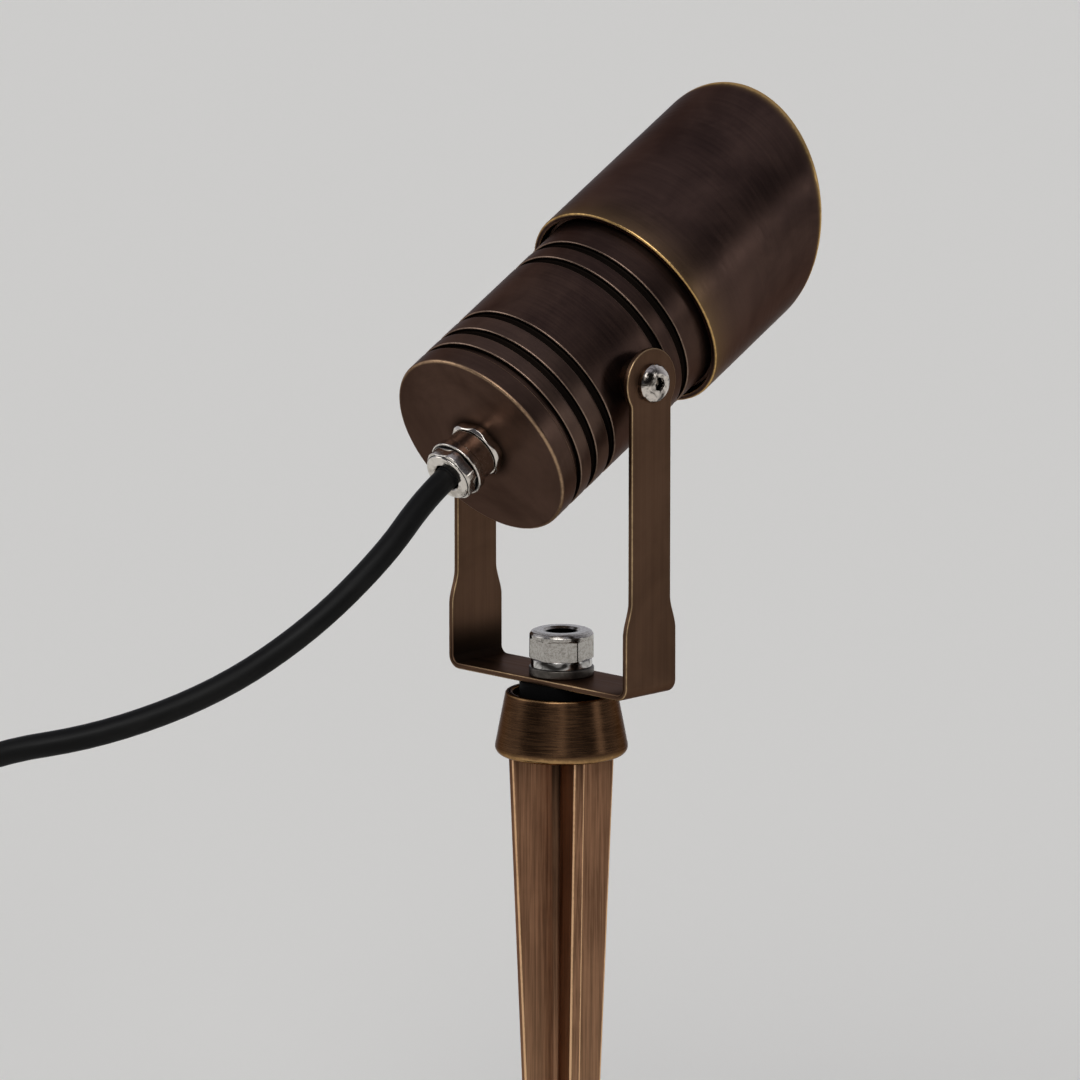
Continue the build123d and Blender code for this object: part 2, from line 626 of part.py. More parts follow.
def make_free_cable():
    start = head_frame.from_local_coords(Vector(0, 0, gland_end))
    points = [start, start - forward * EXIT_RUN] + [Vector(*point) for point in CABLE_ROUTE]
    radii = bend_radii(points, BEND_SHARE)
    cable, length = swept(points, radii, CABLE_D)
    section = pi * cable_r ** 2
    print("cable bend radii", [round(radius, 1) for radius in radii])
    print("cable length", round(length, 1), "volume ratio", round(cable.volume / (section * length), 4))
    return cable


def coil_frame():
    """Start of the coil, its outward direction and its heading there."""
    along = (Vector(*CABLE_ROUTE[-1]) - Vector(*CABLE_ROUTE[-2])).normalized()
    outward = Vector(0, 0, 1).cross(along)
    start = Vector(*CABLE_ROUTE[-1]) + along * CABLE_D
    return start, outward, along


def coil_turns():
    """Half-turn ends of a coil that spirals in, climbs a layer in one half turn and spirals out."""
    start, outward, _ = coil_frame()
    middle = start - outward * COIL_R
    pitch = CABLE_D + COIL_GAP
    radii = [COIL_R - pitch / 2 * k for k in range(COIL_HALF_TURNS + 1)]
    radii[-1] -= COIL_CLIMB_IN
    radii += radii[::-1]
    ends = []
    for k, radius in enumerate(radii):
        lift = pitch if k > COIL_HALF_TURNS else 0.0
        ends.append(middle + outward * (radius if k % 2 == 0 else -radius) + Vector(0, 0, lift))
    return ends


def coil_gap(path, samples=480):
    """Least clear distance from the coiled tube to itself, on points along its middle."""
    points = [path @ (k / samples) for k in range(samples + 1)]
    step = path.length / samples
    apart = int(COIL_R * 2 / step)
    least = min((here - there).length for k, here in enumerate(points) for there in points[k + apart:])
    return least - CABLE_D


def make_coil():
    start, _, along = coil_frame()
    ends = coil_turns()
    edges = [Line(Vector(*CABLE_ROUTE[-1]), start)]
    for k, (here, there) in enumerate(zip(ends, ends[1:])):
        bulge = along * ((there - here).length / 2 * (1 if k % 2 == 0 else -1))
        edges.append(ThreePointArc(here, (here + there) * 0.5 + bulge, there))
    leave = along * (1 if len(ends) % 2 else -1)
    finish = ends[-1] + leave * CABLE_D
    edges.append(Line(ends[-1], finish))
    path = Wire(edges)
    coil = sweep(Plane(path @ 0, z_dir=path % 0) * Circle(cable_r), path=path)
    print("coil length", round(path.length, 1), "gap to itself", round(coil_gap(path), 2),
          "volume ratio", round(coil.volume / (pi * cable_r ** 2 * path.length), 4))
    return coil, finish, leave


def make_tie():
    """Nylon band round the turns, on the side of the coil where no turn climbs."""
    start, outward, along = coil_frame()
    pitch = CABLE_D + COIL_GAP
    odd = COIL_HALF_TURNS % 2
    turns = (COIL_HALF_TURNS + 1) // 2
    outer_turn = COIL_R - pitch * (0.25 if odd else 0.75)
    inner_turn = outer_turn - pitch * (turns - 1) - COIL_CLIMB_IN / 2
    outer = outer_turn + cable_r + TIE_FIT
    inner = inner_turn - cable_r - TIE_FIT
    height = pitch + CABLE_D + 2 * TIE_FIT
    side = along * (1 if odd else -1)
    place = start - outward * COIL_R + side * ((outer + inner) / 2) + Vector(0, 0, pitch / 2)
    frame = Plane(place, x_dir=side, z_dir=outward)
    hole = Rectangle(outer - inner, height)
    band = RectangleRounded(outer - inner + 2 * TIE_T, height + 2 * TIE_T, 2 * TIE_T)
    return extrude(frame * (band - hole), TIE_W / 2, both=True)


def make_tail(finish, leave):
    """Three bare cores out of the sheath's end, drooping to the floor, with crimped ferrules."""
    across = leave.cross(Vector(0, 0, 1))
    parts = {}
    ferrules = []
    for k, name in enumerate(("core_live", "core_neutral", "core_earth")):
        angle = 2 * pi * k / 3 + pi / 2
        offset = across * (TAIL_CORE_RING * cos(angle)) + Vector(0, 0, TAIL_CORE_RING * sin(angle))
        fan = across * (CORE_SPREAD * cos(angle)) - Vector(0, 0, CORE_DROP)
        root = finish + offset
        points = [root, root + leave * CORE_STRAIGHT, root + leave * CORE_REACH + fan]
        parts[name] = swept(points, bend_radii(points, BEND_SHARE), CORE_D)[0]
        direction = (points[2] - points[1]).normalized()
        ferrule = swept([points[2], points[2] + direction * FERRULE_L], None, FERRULE_D)[0]
        ferrules.append(ferrule)
    parts["core_ferrules"] = Compound(ferrules)
    return parts


head_parts = {"lamp_body": make_lamp_body(), "rear_cap": make_rear_cap(), "cowl": make_cowl()}
for group in (make_lens_parts(), make_lamp_parts(), make_bridge_parts(), make_wires(), make_gland_parts()):
    head_parts.update(group)
parts = {name: head_frame * piece for name, piece in head_parts.items()}
parts.update(make_pivot_parts())
parts["bracket"] = make_bracket()
parts.update(make_swivel_parts())
parts["spike"] = make_spike()
parts["cable"] = make_free_cable()
parts["cable_coil"], sheath_end, leave_way = make_coil()
parts["coil_tie"] = make_tie()
parts.update(make_tail(sheath_end, leave_way))

os.makedirs("parts", exist_ok=True)
for name, piece in parts.items():
    export_step(piece, f"parts/{name}.step")
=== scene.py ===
import json
from math import cos, pi, radians, sin, sqrt, tan

import bmesh
import bpy
import numpy as np
from mathutils import Matrix, Vector


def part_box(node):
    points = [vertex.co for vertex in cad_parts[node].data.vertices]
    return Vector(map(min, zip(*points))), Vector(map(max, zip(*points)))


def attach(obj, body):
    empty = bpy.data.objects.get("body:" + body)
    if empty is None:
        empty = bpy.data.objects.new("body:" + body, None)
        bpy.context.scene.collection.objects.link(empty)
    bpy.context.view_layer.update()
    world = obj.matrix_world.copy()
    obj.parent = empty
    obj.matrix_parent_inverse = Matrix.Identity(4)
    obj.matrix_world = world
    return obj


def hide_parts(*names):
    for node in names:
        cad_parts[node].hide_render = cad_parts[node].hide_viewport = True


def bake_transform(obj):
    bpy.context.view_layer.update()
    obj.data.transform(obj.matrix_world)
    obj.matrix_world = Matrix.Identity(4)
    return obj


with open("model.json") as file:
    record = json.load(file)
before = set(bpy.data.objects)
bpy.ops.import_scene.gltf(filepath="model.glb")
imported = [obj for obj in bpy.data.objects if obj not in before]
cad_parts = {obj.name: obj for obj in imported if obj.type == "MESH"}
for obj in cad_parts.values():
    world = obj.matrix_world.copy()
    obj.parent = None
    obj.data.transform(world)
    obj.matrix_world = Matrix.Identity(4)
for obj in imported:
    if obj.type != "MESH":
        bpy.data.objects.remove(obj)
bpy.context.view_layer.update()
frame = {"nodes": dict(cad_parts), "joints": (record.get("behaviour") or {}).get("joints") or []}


# Ground spike: two tapered blades crossed at right angles, cast in brass as one with the round boss that the
# collar slips over. It is brushed lengthwise under a brown patina, its outer blades darkened just below the
# collar by painted shade, and use has rubbed the blade edges bright.

MM = 0.001
SPIKE_LENGTH = 170 * MM
SPIKE_POINT = 20 * MM
SPIKE_ROWS = (12, 40)
SPIKE_HALF_SPAN = (0.8 * MM, 8.0 * MM, 14.2 * MM)
SPIKE_HALF_THICK = 1.5 * MM
SPIKE_TURN = radians(-26)
SPIKE_EDGE, SPIKE_FILLET, SPIKE_BAND = 0.55 * MM, 1.5 * MM, 0.7 * MM
SPIKE_FILLET_WEAR = -0.6
SPIKE_RUBBED = 0.8
SPIKE_PAINTED_SHADE, SPIKE_PAINTED_SHADE_RUN = 0.55, 22 * MM
BOSS_R, BOSS_H = 11.8 * MM, 8.0 * MM
UPRIGHT = ((0, 0, 0), (1, 0, 0), (0, 1, 0), (0, 0, 1))
ARC_STEPS = 7
ARC_SHARE, BAND_SHARE = 0.42, 0.45
LEAST_RUN, LEAST_TURN = 1e-9, 1e-6
HEX_SOFT = 0.08 * MM
MERGE_GAP = 2e-6
SHARP_ANGLE = radians(50)
NOISE_ROUGHNESS = 0.6
CLOUD_SCALE, SPECK_SCALE = (38, 38, 38), (900, 900, 900)
CLOUD_SPAN, LINE_SPAN, GLOSS_SPAN = (0.3, 0.7), (0.28, 0.72), (0.2, 0.8)
THINNED_SPAN, THINNED_MOST = (0.05, 0.9), 0.3
RAGGED, PATCHY = 0.7, (-0.2, 0.15)
BARE_SPAN = (0.55, 1.1)
# Below-zero wear goes to this near black: painted shade in grooves, bends and round the gland, and darker
# inner corners.
GRIME_AND_SHADE_SPAN, GRIME_AND_SHADE_MOST, GRIME_AND_SHADE_COLOUR = (-0.1, -0.9), 0.93, (0.006, 0.005, 0.004, 1)
ROUGH_LINES, ROUGH_BARE, ROUGH_GRIME_AND_SHADE = (-0.05, 0.07), -0.06, 0.25
SPECK_RELIEF, RELIEF_STRENGTH, RELIEF_DEPTH = 0.12, 0.35, 0.06 * MM
GRAZING_TINT = (0.51, 0.46, 0.445, 1)


def rounded(corners, radius, band, closed=True):
    """Outline with softened corners, the metal on its left, and how worn each of its points is.

    A corner becomes an arc, centre + rotation(t * turn) (start - centre) for t from 0 to 1, between two
    points that lie a band further out. Wear rises to 1 at the crest of an outer arc, is -1 along an inner
    one, and 0 elsewhere.
    """
    back = corners - np.roll(corners, 1, axis=-2)
    run_back = np.maximum(np.linalg.norm(back, axis=-1, keepdims=True), LEAST_RUN)
    back = back / run_back
    ahead = np.roll(back, -1, axis=-2)
    run_ahead = np.roll(run_back, -1, axis=-2)
    cross = back[..., 0] * ahead[..., 1] - back[..., 1] * ahead[..., 0]
    turn = np.arctan2(cross, (back * ahead).sum(-1))[..., None]
    half = np.maximum(np.tan(np.abs(turn) / 2), LEAST_TURN)
    shorter = np.minimum(run_back, run_ahead)
    reach = np.minimum(np.broadcast_to(radius, cross.shape)[..., None] * half, ARC_SHARE * shorter)
    start = corners - back * reach
    side = np.stack((-back[..., 1], back[..., 0]), axis=-1) * np.sign(turn)
    centre = start + side * reach / half
    angle = np.linspace(0, 1, ARC_STEPS) * turn
    arm = start - centre
    x = arm[..., :1] * np.cos(angle) - arm[..., 1:] * np.sin(angle)
    y = arm[..., :1] * np.sin(angle) + arm[..., 1:] * np.cos(angle)
    arc = centre[..., None, :] + np.stack((x, y), axis=-1)
    before = start - back * np.minimum(band, BAND_SHARE * (run_back - reach))
    after = corners + ahead * (reach + np.minimum(band, BAND_SHARE * (run_ahead - reach)))
    line = np.concatenate((before[..., None, :], arc, after[..., None, :]), axis=-2)
    crest = np.where(turn > 0, np.sin(np.linspace(0, pi, ARC_STEPS)), -1.0)
    worn = np.zeros(line.shape[:-1])
    worn[..., 1:-1] = crest * (turn != 0)
    if not closed:
        line, worn = line[..., 1:-1, :, :], worn[..., 1:-1, :]
    line = line.reshape(*line.shape[:-3], -1, 2)
    worn = worn.reshape(*worn.shape[:-2], -1)
    if not closed:
        line = np.concatenate((corners[..., :1, :], line, corners[..., -1:, :]), axis=-2)
        worn = np.concatenate(([0.0], worn, [0.0]))
    return line, worn


def from_facet(angle):
    """Angle from the middle of the nearest of six facets, the first of which faces angle 0."""
    return (angle + pi / 6) % (pi / 3) - pi / 6


def turned(corners, seat, radius=0.4 * MM, band=0.8 * MM, ring=180, closed=True, flat=None, flat_turn=0.0,
           step=1.0):
    """Patch turned on a lathe: p(h, t) = o + h k + r(h) (i cos t + j sin t), the outline (r, h) softened.

    Where flat is given, r is the smooth least of the outline's radius and of a hexagon's, flat / cos(t to its
    facet). Rows lie no further apart than the step. Returns points, wear, and the grain, whose first two
    parts follow the turn and the third the outline's length.
    """
    line, worn = rounded(np.array(corners), radius, band, closed=closed)
    if closed:
        line = np.concatenate((line, line[:1]))
        worn = np.concatenate((worn, worn[:1]))
    length = np.concatenate(([0.0], np.cumsum(np.linalg.norm(np.diff(line, axis=0), axis=1))))
    along = np.union1d(length, np.arange(0, length[-1], step))
    r, h, worn = (np.interp(along, length, row)[:, None] for row in (line[:, 0], line[:, 1], worn))
    angle = np.linspace(0, 2 * pi, ring, endpoint=False)[None]
    origin, right, up, axis = (np.array(v) for v in seat)
    if flat is None:
        r = r + 0 * angle
    else:
        hexagon = flat(r, h) / np.cos(from_facet(angle - flat_turn))
        r = np.maximum(-HEX_SOFT * np.logaddexp(-r / HEX_SOFT, -hexagon / HEX_SOFT), 0.0)
    points = origin + h[..., None] * axis + r[..., None] * (
        np.cos(angle)[..., None] * right + np.sin(angle)[..., None] * up)
    widest = line[:, 0].max()
    unrolled = (widest * np.cos(angle), widest * np.sin(angle), along[:, None])
    grain = np.stack(np.broadcast_arrays(*unrolled), axis=-1)
    return points, worn + 0 * angle, grain


def piece(name, patches, finish, body, slot, *nodes):
    """Mesh from patches of points on a grid, each row a closed ring.

    Point (i, j) joins (i, j + 1), (i + 1, j + 1) and (i + 1, j), and the last of a ring joins its first.
    Points in one place are merged, which closes seams and poles. Wear, with painted shade where it is below
    zero, and grain go in as attributes that the finish reads.
    """
    all_points, all_wear_and_shade, all_grain = zip(*patches)
    faces = []
    first = 0
    for points in all_points:
        rows, ring = points.shape[:2]
        index = first + np.arange(rows * ring).reshape(rows, ring)
        beside = np.roll(index, -1, axis=1)
        faces.append(np.stack((index[:-1], beside[:-1], beside[1:], index[1:]), axis=-1).reshape(-1, 4))
        first += rows * ring
    mesh = bpy.data.meshes.new(name)
    vertices = np.concatenate([points.reshape(-1, 3) for points in all_points])
    mesh.from_pydata(vertices.tolist(), [], np.concatenate(faces).tolist())
    worn = np.concatenate([np.ravel(patch) for patch in all_wear_and_shade])
    mesh.attributes.new("wear_and_shade", "FLOAT", "POINT").data.foreach_set("value", worn)
    grain = np.concatenate([np.ravel(patch) for patch in all_grain])
    mesh.attributes.new("grain", "FLOAT_VECTOR", "POINT").data.foreach_set("vector", grain)
    shell = bmesh.new()
    shell.from_mesh(mesh)
    bmesh.ops.remove_doubles(shell, verts=shell.verts, dist=MERGE_GAP)
    bmesh.ops.recalc_face_normals(shell, faces=shell.faces)
    shell.to_mesh(mesh)
    shell.free()
    mesh.polygons.foreach_set("use_smooth", np.ones(len(mesh.polygons), dtype=bool))
    mesh.set_sharp_from_angle(angle=SHARP_ANGLE)
    mesh.materials.append(finish)
    made = bpy.data.objects.new(name, mesh)
    bpy.context.collection.objects.link(made)
    if body:
        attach(made, body)
    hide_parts(*nodes)
    return made


def add(tree, kind, sockets, **settings):
    """One shader node with its settings, and its inputs by name or number: values or other nodes' outputs."""
    made = tree.nodes.new("ShaderNode" + kind)
    for key, value in settings.items():
        setattr(made, key, value)
    for key, value in sockets.items():
        if isinstance(value, bpy.types.NodeSocket):
            tree.links.new(value, made.inputs[key])
        else:
            made.inputs[key].default_value = value
    return made


def new_finish(name):
    """Material with an empty principled shader, its node tree and that shader."""
    finish = bpy.data.materials.new(name)
    finish.use_nodes = True
    tree = finish.node_tree
    return finish, tree, tree.nodes["Principled BSDF"]


def mixed(tree, share, low, high, blend="MIX"):
    """Colour between low and high by the share."""
    return add(tree, "Mix", {0: share, 6: low, 7: high}, data_type="RGBA", blend_type=blend).outputs[2]


def ramp(tree, value, low, high, to_low=0.0, to_high=1.0):
    """Smooth step of a value from low to high, scaled to the two ends given."""
    ends = {"Value": value, "From Min": low, "From Max": high, "To Min": to_low, "To Max": to_high}
    return add(tree, "MapRange", ends, interpolation_type="SMOOTHSTEP").outputs[0]


def sums(tree, operation, a, b):
    """Result of one sum on two values."""
    return add(tree, "Math", {0: a, 1: b}, operation=operation).outputs[0]


def grained(tree, place, scale, detail=3.0, distortion=0.0):
    """Noise whose vector is the place times a scale in cycles per metre along each direction."""
    spread = add(tree, "Mapping", {"Vector": place, "Scale": scale}).outputs[0]
    noise = {"Vector": spread, "Scale": 1.0, "Detail": detail, "Roughness": NOISE_ROUGHNESS,
             "Distortion": distortion}
    return add(tree, "TexNoise", noise).outputs[0]


def bronze(name, dark, light, worn, brush, brushed, rough, bright=1.0):
    """Brown patina over brass: clouds and brush lines shade it, edges wear through, and where wear is below
    zero it goes near black: painted shade in grooves, inside bends, under the collar and round the gland, and
    darker inner corners.

    The patina thins by a smooth step of the wear attribute, and bare metal is a later step of wear plus
    speckle. The brush is noise stretched along the grain.
    """
    finish, tree, shader = new_finish(name)
    place = add(tree, "TexCoord", {}).outputs["Object"]
    grain = add(tree, "Attribute", {}, attribute_name="grain").outputs["Vector"]
    wear_and_shade = add(tree, "Attribute", {}, attribute_name="wear_and_shade").outputs["Fac"]
    cloud = grained(tree, place, CLOUD_SCALE, detail=4.0, distortion=0.6)
    speck = grained(tree, place, SPECK_SCALE)
    lines = grained(tree, grain, brush, detail=6.0)
    clouded = ramp(tree, cloud, *CLOUD_SPAN, 0, 1 - brushed)
    lined = ramp(tree, lines, *LINE_SPAN, 0, brushed)
    patina = mixed(tree, sums(tree, "ADD", clouded, lined), (*dark, 1), (*light, 1))
    patina = mixed(tree, ramp(tree, wear_and_shade, *THINNED_SPAN, 0, THINNED_MOST), patina, (*worn, 1))
    ragged = sums(tree, "MULTIPLY_ADD", speck, RAGGED)
    ragged.node.inputs[2].default_value = -RAGGED / 2
    ragged = sums(tree, "ADD", ragged, ramp(tree, cloud, *CLOUD_SPAN, *PATCHY))
    rubbed = ramp(tree, sums(tree, "ADD", wear_and_shade, ragged), *BARE_SPAN, 0, bright)
    metal = mixed(tree, rubbed, patina, (*worn, 1))
    # Painted shade: below-zero wear takes the colour to near black.
    grime_and_shade = ramp(tree, wear_and_shade, *GRIME_AND_SHADE_SPAN, 0, GRIME_AND_SHADE_MOST)
    tree.links.new(mixed(tree, grime_and_shade, metal, GRIME_AND_SHADE_COLOUR), shader.inputs["Base Color"])
    gloss = ramp(tree, lines, *GLOSS_SPAN, rough + ROUGH_LINES[0], rough + ROUGH_LINES[1])
    gloss = sums(tree, "ADD", gloss, ramp(tree, rubbed, 0, 1, 0, ROUGH_BARE))
    gloss = sums(tree, "ADD", gloss, ramp(tree, grime_and_shade, 0, 1, 0, ROUGH_GRIME_AND_SHADE))
    tree.links.new(gloss, shader.inputs["Roughness"])
    brush_relief = sums(tree, "MULTIPLY", lines, brushed)
    relief = sums(tree, "ADD", brush_relief, sums(tree, "MULTIPLY", speck, SPECK_RELIEF))
    bump = add(tree, "Bump", {"Strength": RELIEF_STRENGTH, "Distance": RELIEF_DEPTH, "Height": relief})
    tree.links.new(bump.outputs[0], shader.inputs["Normal"])
    shader.inputs["Metallic"].default_value = 1.0
    shader.inputs["Specular Tint"].default_value = GRAZING_TINT
    return finish


spike_bronze = bronze("spike_bronze", dark=(0.115, 0.056, 0.031), light=(0.40, 0.212, 0.120),
                      worn=(0.88, 0.55, 0.31), brush=(1600, 1600, 36), brushed=0.8, rough=0.36, bright=0.95)

point_z = SPIKE_POINT - SPIKE_LENGTH
spike_z = np.concatenate((np.linspace(-SPIKE_LENGTH, point_z, SPIKE_ROWS[0]),
                          np.linspace(point_z, 0, SPIKE_ROWS[1])[1:]))
span = np.interp(spike_z, (-SPIKE_LENGTH, point_z, 0), SPIKE_HALF_SPAN)
half_thick = np.minimum(SPIKE_HALF_THICK, span)
quarter = np.stack((np.stack((span, -half_thick), -1), np.stack((span, half_thick), -1),
                    np.stack((half_thick, half_thick), -1)), axis=1)
quarter_turn = np.array(((0, 1), (-1, 0)))
section = np.concatenate([quarter @ np.linalg.matrix_power(quarter_turn, k) for k in range(4)], axis=1)
section, blade_wear_and_shade = rounded(section, np.tile((SPIKE_EDGE, SPIKE_EDGE, SPIKE_FILLET), 4), SPIKE_BAND)
lean = np.array(((cos(SPIKE_TURN), sin(SPIKE_TURN)), (-sin(SPIKE_TURN), cos(SPIKE_TURN))))
section_z = np.broadcast_to(spike_z[:, None, None], (*section.shape[:2], 1))
blades = np.concatenate((section @ lean, section_z), axis=-1)
tip, top = blades[:1] * (0, 0, 1), blades[-1:] * (0, 0, 1)
blades = np.concatenate((tip, blades, top))
blade_wear_and_shade = np.where(blade_wear_and_shade > 0, np.sqrt(np.abs(blade_wear_and_shade)), np.maximum(blade_wear_and_shade, SPIKE_FILLET_WEAR))
blade_wear_and_shade = np.concatenate((blade_wear_and_shade[:1], blade_wear_and_shade, blade_wear_and_shade[-1:]))
# Painted shade: the outer blades go darker just below the collar, where the collar shades them; edge crests
# keep their wear.
outward = np.linalg.norm(blades[..., :2], axis=-1) / SPIKE_HALF_SPAN[2]
painted_shade = SPIKE_PAINTED_SHADE * outward * np.exp(blades[..., 2] / SPIKE_PAINTED_SHADE_RUN) * (1 - np.clip(blade_wear_and_shade, 0, 1))
blade_wear_and_shade = blade_wear_and_shade - SPIKE_RUBBED * blades[..., 2] / SPIKE_LENGTH - painted_shade
boss_outline = ((0, 0), (BOSS_R, 0), (BOSS_R, BOSS_H), (0, BOSS_H))
boss = turned(boss_outline, UPRIGHT, ring=96, closed=False)
piece("ground_spike", [(blades, blade_wear_and_shade, blades), boss], spike_bronze, "stake",
      "antique_bronze_spike", "spike")


# Collar: a short turned cone of bronze that caps the spike and carries the bracket on its stud. Its top is
# recessed inside a rim, its side keeps the lathe's fine lines, and both rims are rubbed bright.

COLLAR_H = 16.6 * MM
COLLAR_R = (17.8 * MM, 14.6 * MM)
COLLAR_RIM = 1.8 * MM
COLLAR_RECESS = 1.5 * MM
STUD_HOLE_R = 4.3 * MM
COLLAR_SOFT = np.array((0.2, 2.4, 0.6, 0.4, 0.3, 0.2, 0.2, 0.2)) * MM

collar_bronze = bronze("collar_bronze", dark=(0.050, 0.025, 0.013), light=(0.142, 0.076, 0.039),
                       worn=(0.50, 0.30, 0.13), brush=(150, 150, 4000), brushed=0.55, rough=0.25, bright=0.9)
collar_floor = COLLAR_H - COLLAR_RECESS
collar_rim_r = COLLAR_R[1] - COLLAR_RIM
collar_outline = (
    (BOSS_R, 0), (COLLAR_R[0], 0), (COLLAR_R[1], COLLAR_H), (collar_rim_r, COLLAR_H),
    (collar_rim_r, collar_floor), (STUD_HOLE_R, collar_floor), (STUD_HOLE_R, BOSS_H), (BOSS_R, BOSS_H))
piece("collar_cone", [turned(collar_outline, UPRIGHT, COLLAR_SOFT)], collar_bronze, "stake",
      "antique_bronze_collar", "collar")


# Swivel: a stainless stud comes up through a rubber bush and the bracket's base, and a flat washer, a spring
# washer and a hexagon nut clamp it. The nut and the spring washer are polished, the flat washer is blackened.
# Painted shade darkens the nut's facets towards their edges and fills its bore, and the spring washer's dark
# patches are painted reflections.

NUT_Z = [corner.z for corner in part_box("swivel_nut")]
NUT_HALF_FLATS = 7.4 * MM
NUT_BORE_R = 4.25 * MM
NUT_ROUND_R = (8.4 * MM, 7.9 * MM, 7.0 * MM)
NUT_TOP = (1.0 * MM, 0.35 * MM)
NUT_LEDGE = (2.3 * MM, 1.5 * MM)
NUT_OPENS = 1.6
NUT_SINK = 0.7 * MM
NUT_TURN = radians(45 + 30)
NUT_SOFT = np.array((0.1, 0.2, 0.5, 0.5, 0.5, 0.3, 0.1)) * MM
NUT_EDGE_PAINTED_SHADE, NUT_EDGE_POWER, NUT_EDGE_UNSHADED = -0.6, 6, 0.9
BORE_MARGIN = 0.1 * MM
FLAT_WASHER_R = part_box("flat_washer")[1].y
FLAT_WASHER_Z = [corner.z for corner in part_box("flat_washer")]
SPRING_R = (4.4 * MM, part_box("spring_washer")[1].y)
SPRING_Z = [corner.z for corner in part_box("spring_washer")]
SPRING_GAP = 1.4 * MM
SPRING_TURN = radians(120)
SPRING_RISE = 0.35 * MM
SPRING_SOFT, SPRING_BAND = 0.25 * MM, 0.3 * MM
SPRING_ROWS = 160
TARNISH_AND_REFLECTION_SPAN, SCRATCH_SPAN = (0.42, 0.66), (0.4, 0.8)
# Painted shade colour for sockets, bores, nut edges and inner corners.
PAINTED_SHADE_COLOUR = (0.008, 0.008, 0.008, 1)
ROUGH_TARNISH, ROUGH_SCRATCH = 0.06, 0.08
SCRATCH_STRENGTH, SCRATCH_DEPTH = 0.2, 0.03 * MM
MOTTLE_SCALE, MOTTLE_DARK = (90, 90, 90), 0.6
ROUGH_SKIN, SKIN_DEPTH = (-0.05, 0.08), 0.1 * MM


def polished(name, colour, dark, patch, rough, scratch):
    """Bright metal: dark patches of this size, tarnish on most but painted reflections on the screws and the
    spring washer, fine scratches, and painted shade where wear is below zero.
    """
    finish, tree, shader = new_finish(name)
    place = add(tree, "TexCoord", {}).outputs["Object"]
    wear_and_shade = add(tree, "Attribute", {}, attribute_name="wear_and_shade").outputs["Fac"]
    cloud = grained(tree, place, (1 / patch, 1 / patch, 1 / patch), detail=2.5, distortion=0.8)
    lines = grained(tree, place, scratch)
    # Dark patches: tarnish on most metals, painted reflections on the screws and the spring washer.
    shade = mixed(tree, ramp(tree, cloud, *TARNISH_AND_REFLECTION_SPAN), (*colour, 1), (*dark, 1))
    # Painted shade: below-zero wear goes near black.
    shade = mixed(tree, ramp(tree, wear_and_shade, *GRIME_AND_SHADE_SPAN), shade, PAINTED_SHADE_COLOUR)
    tree.links.new(shade, shader.inputs["Base Color"])
    gloss = ramp(tree, cloud, *CLOUD_SPAN, rough, rough + ROUGH_TARNISH)
    gloss = sums(tree, "ADD", gloss, ramp(tree, lines, *SCRATCH_SPAN, 0, ROUGH_SCRATCH))
    tree.links.new(gloss, shader.inputs["Roughness"])
    bump = add(tree, "Bump", {"Strength": SCRATCH_STRENGTH, "Distance": SCRATCH_DEPTH, "Height": lines})
    tree.links.new(bump.outputs[0], shader.inputs["Normal"])
    shader.inputs["Metallic"].default_value = 1.0
    return finish


def mouldings(name, colour, rough, cell, mottle=0.35, bumps=0.15, sheen=0.5):
    """Moulded rubber or plastic: pale and dark mottling, and a pebbled skin from noise of this cell size."""
    finish, tree, shader = new_finish(name)
    place = add(tree, "TexCoord", {}).outputs["Object"]
    cloud = grained(tree, place, MOTTLE_SCALE)
    skin = grained(tree, place, (1 / cell, 1 / cell, 1 / cell), detail=2.0)
    darker = (*(MOTTLE_DARK * part for part in colour), 1)
    shade = mixed(tree, ramp(tree, cloud, *CLOUD_SPAN, 0, mottle), (*colour, 1), darker)
    tree.links.new(shade, shader.inputs["Base Color"])
    gloss = ramp(tree, skin, *CLOUD_SPAN, rough + ROUGH_SKIN[0], rough + ROUGH_SKIN[1])
    tree.links.new(gloss, shader.inputs["Roughness"])
    bump = add(tree, "Bump", {"Strength": bumps, "Distance": SKIN_DEPTH, "Height": skin})
    tree.links.new(bump.outputs[0], shader.inputs["Normal"])
    shader.inputs["Specular IOR Level"].default_value = sheen
    return finish


def dress(finish, *nodes):
    """Give CAD nodes that keep their own mesh a finish."""
    for node in nodes:
        shape = frame["nodes"][node]
        shape.data.materials.clear()
        shape.data.materials.append(finish)


def smooth(share):
    """Smooth step of a share from 0 to 1."""
    share = np.clip(share, 0, 1)
    return share * share * (3 - 2 * share)


plated = polished("plated_nut", colour=(0.50, 0.475, 0.44), dark=(0.34, 0.318, 0.29), patch=0.7 * MM,
                  rough=0.15, scratch=(1500, 1500, 500))
# Painted reflection: the spring washer's near-black patches stand in for reflected dark surroundings.
spring_steel = polished("spring_washer_steel", colour=(0.78, 0.76, 0.73), dark=(0.03, 0.028, 0.026),
                        patch=7 * MM, rough=0.10, scratch=(900, 900, 2500))
blackened = polished("blackened_washer", colour=(0.11, 0.098, 0.086), dark=(0.08, 0.071, 0.062),
                     patch=2 * MM, rough=0.36, scratch=(1200, 1200, 1200))
threaded = polished("stud_steel", colour=(0.12, 0.115, 0.11), dark=(0.03, 0.028, 0.026), patch=2 * MM,
                    rough=0.25, scratch=(60, 60, 1600))
black_rubber = mouldings("black_rubber", colour=(0.003, 0.003, 0.003), rough=0.6, cell=0.35 * MM, sheen=0.02)


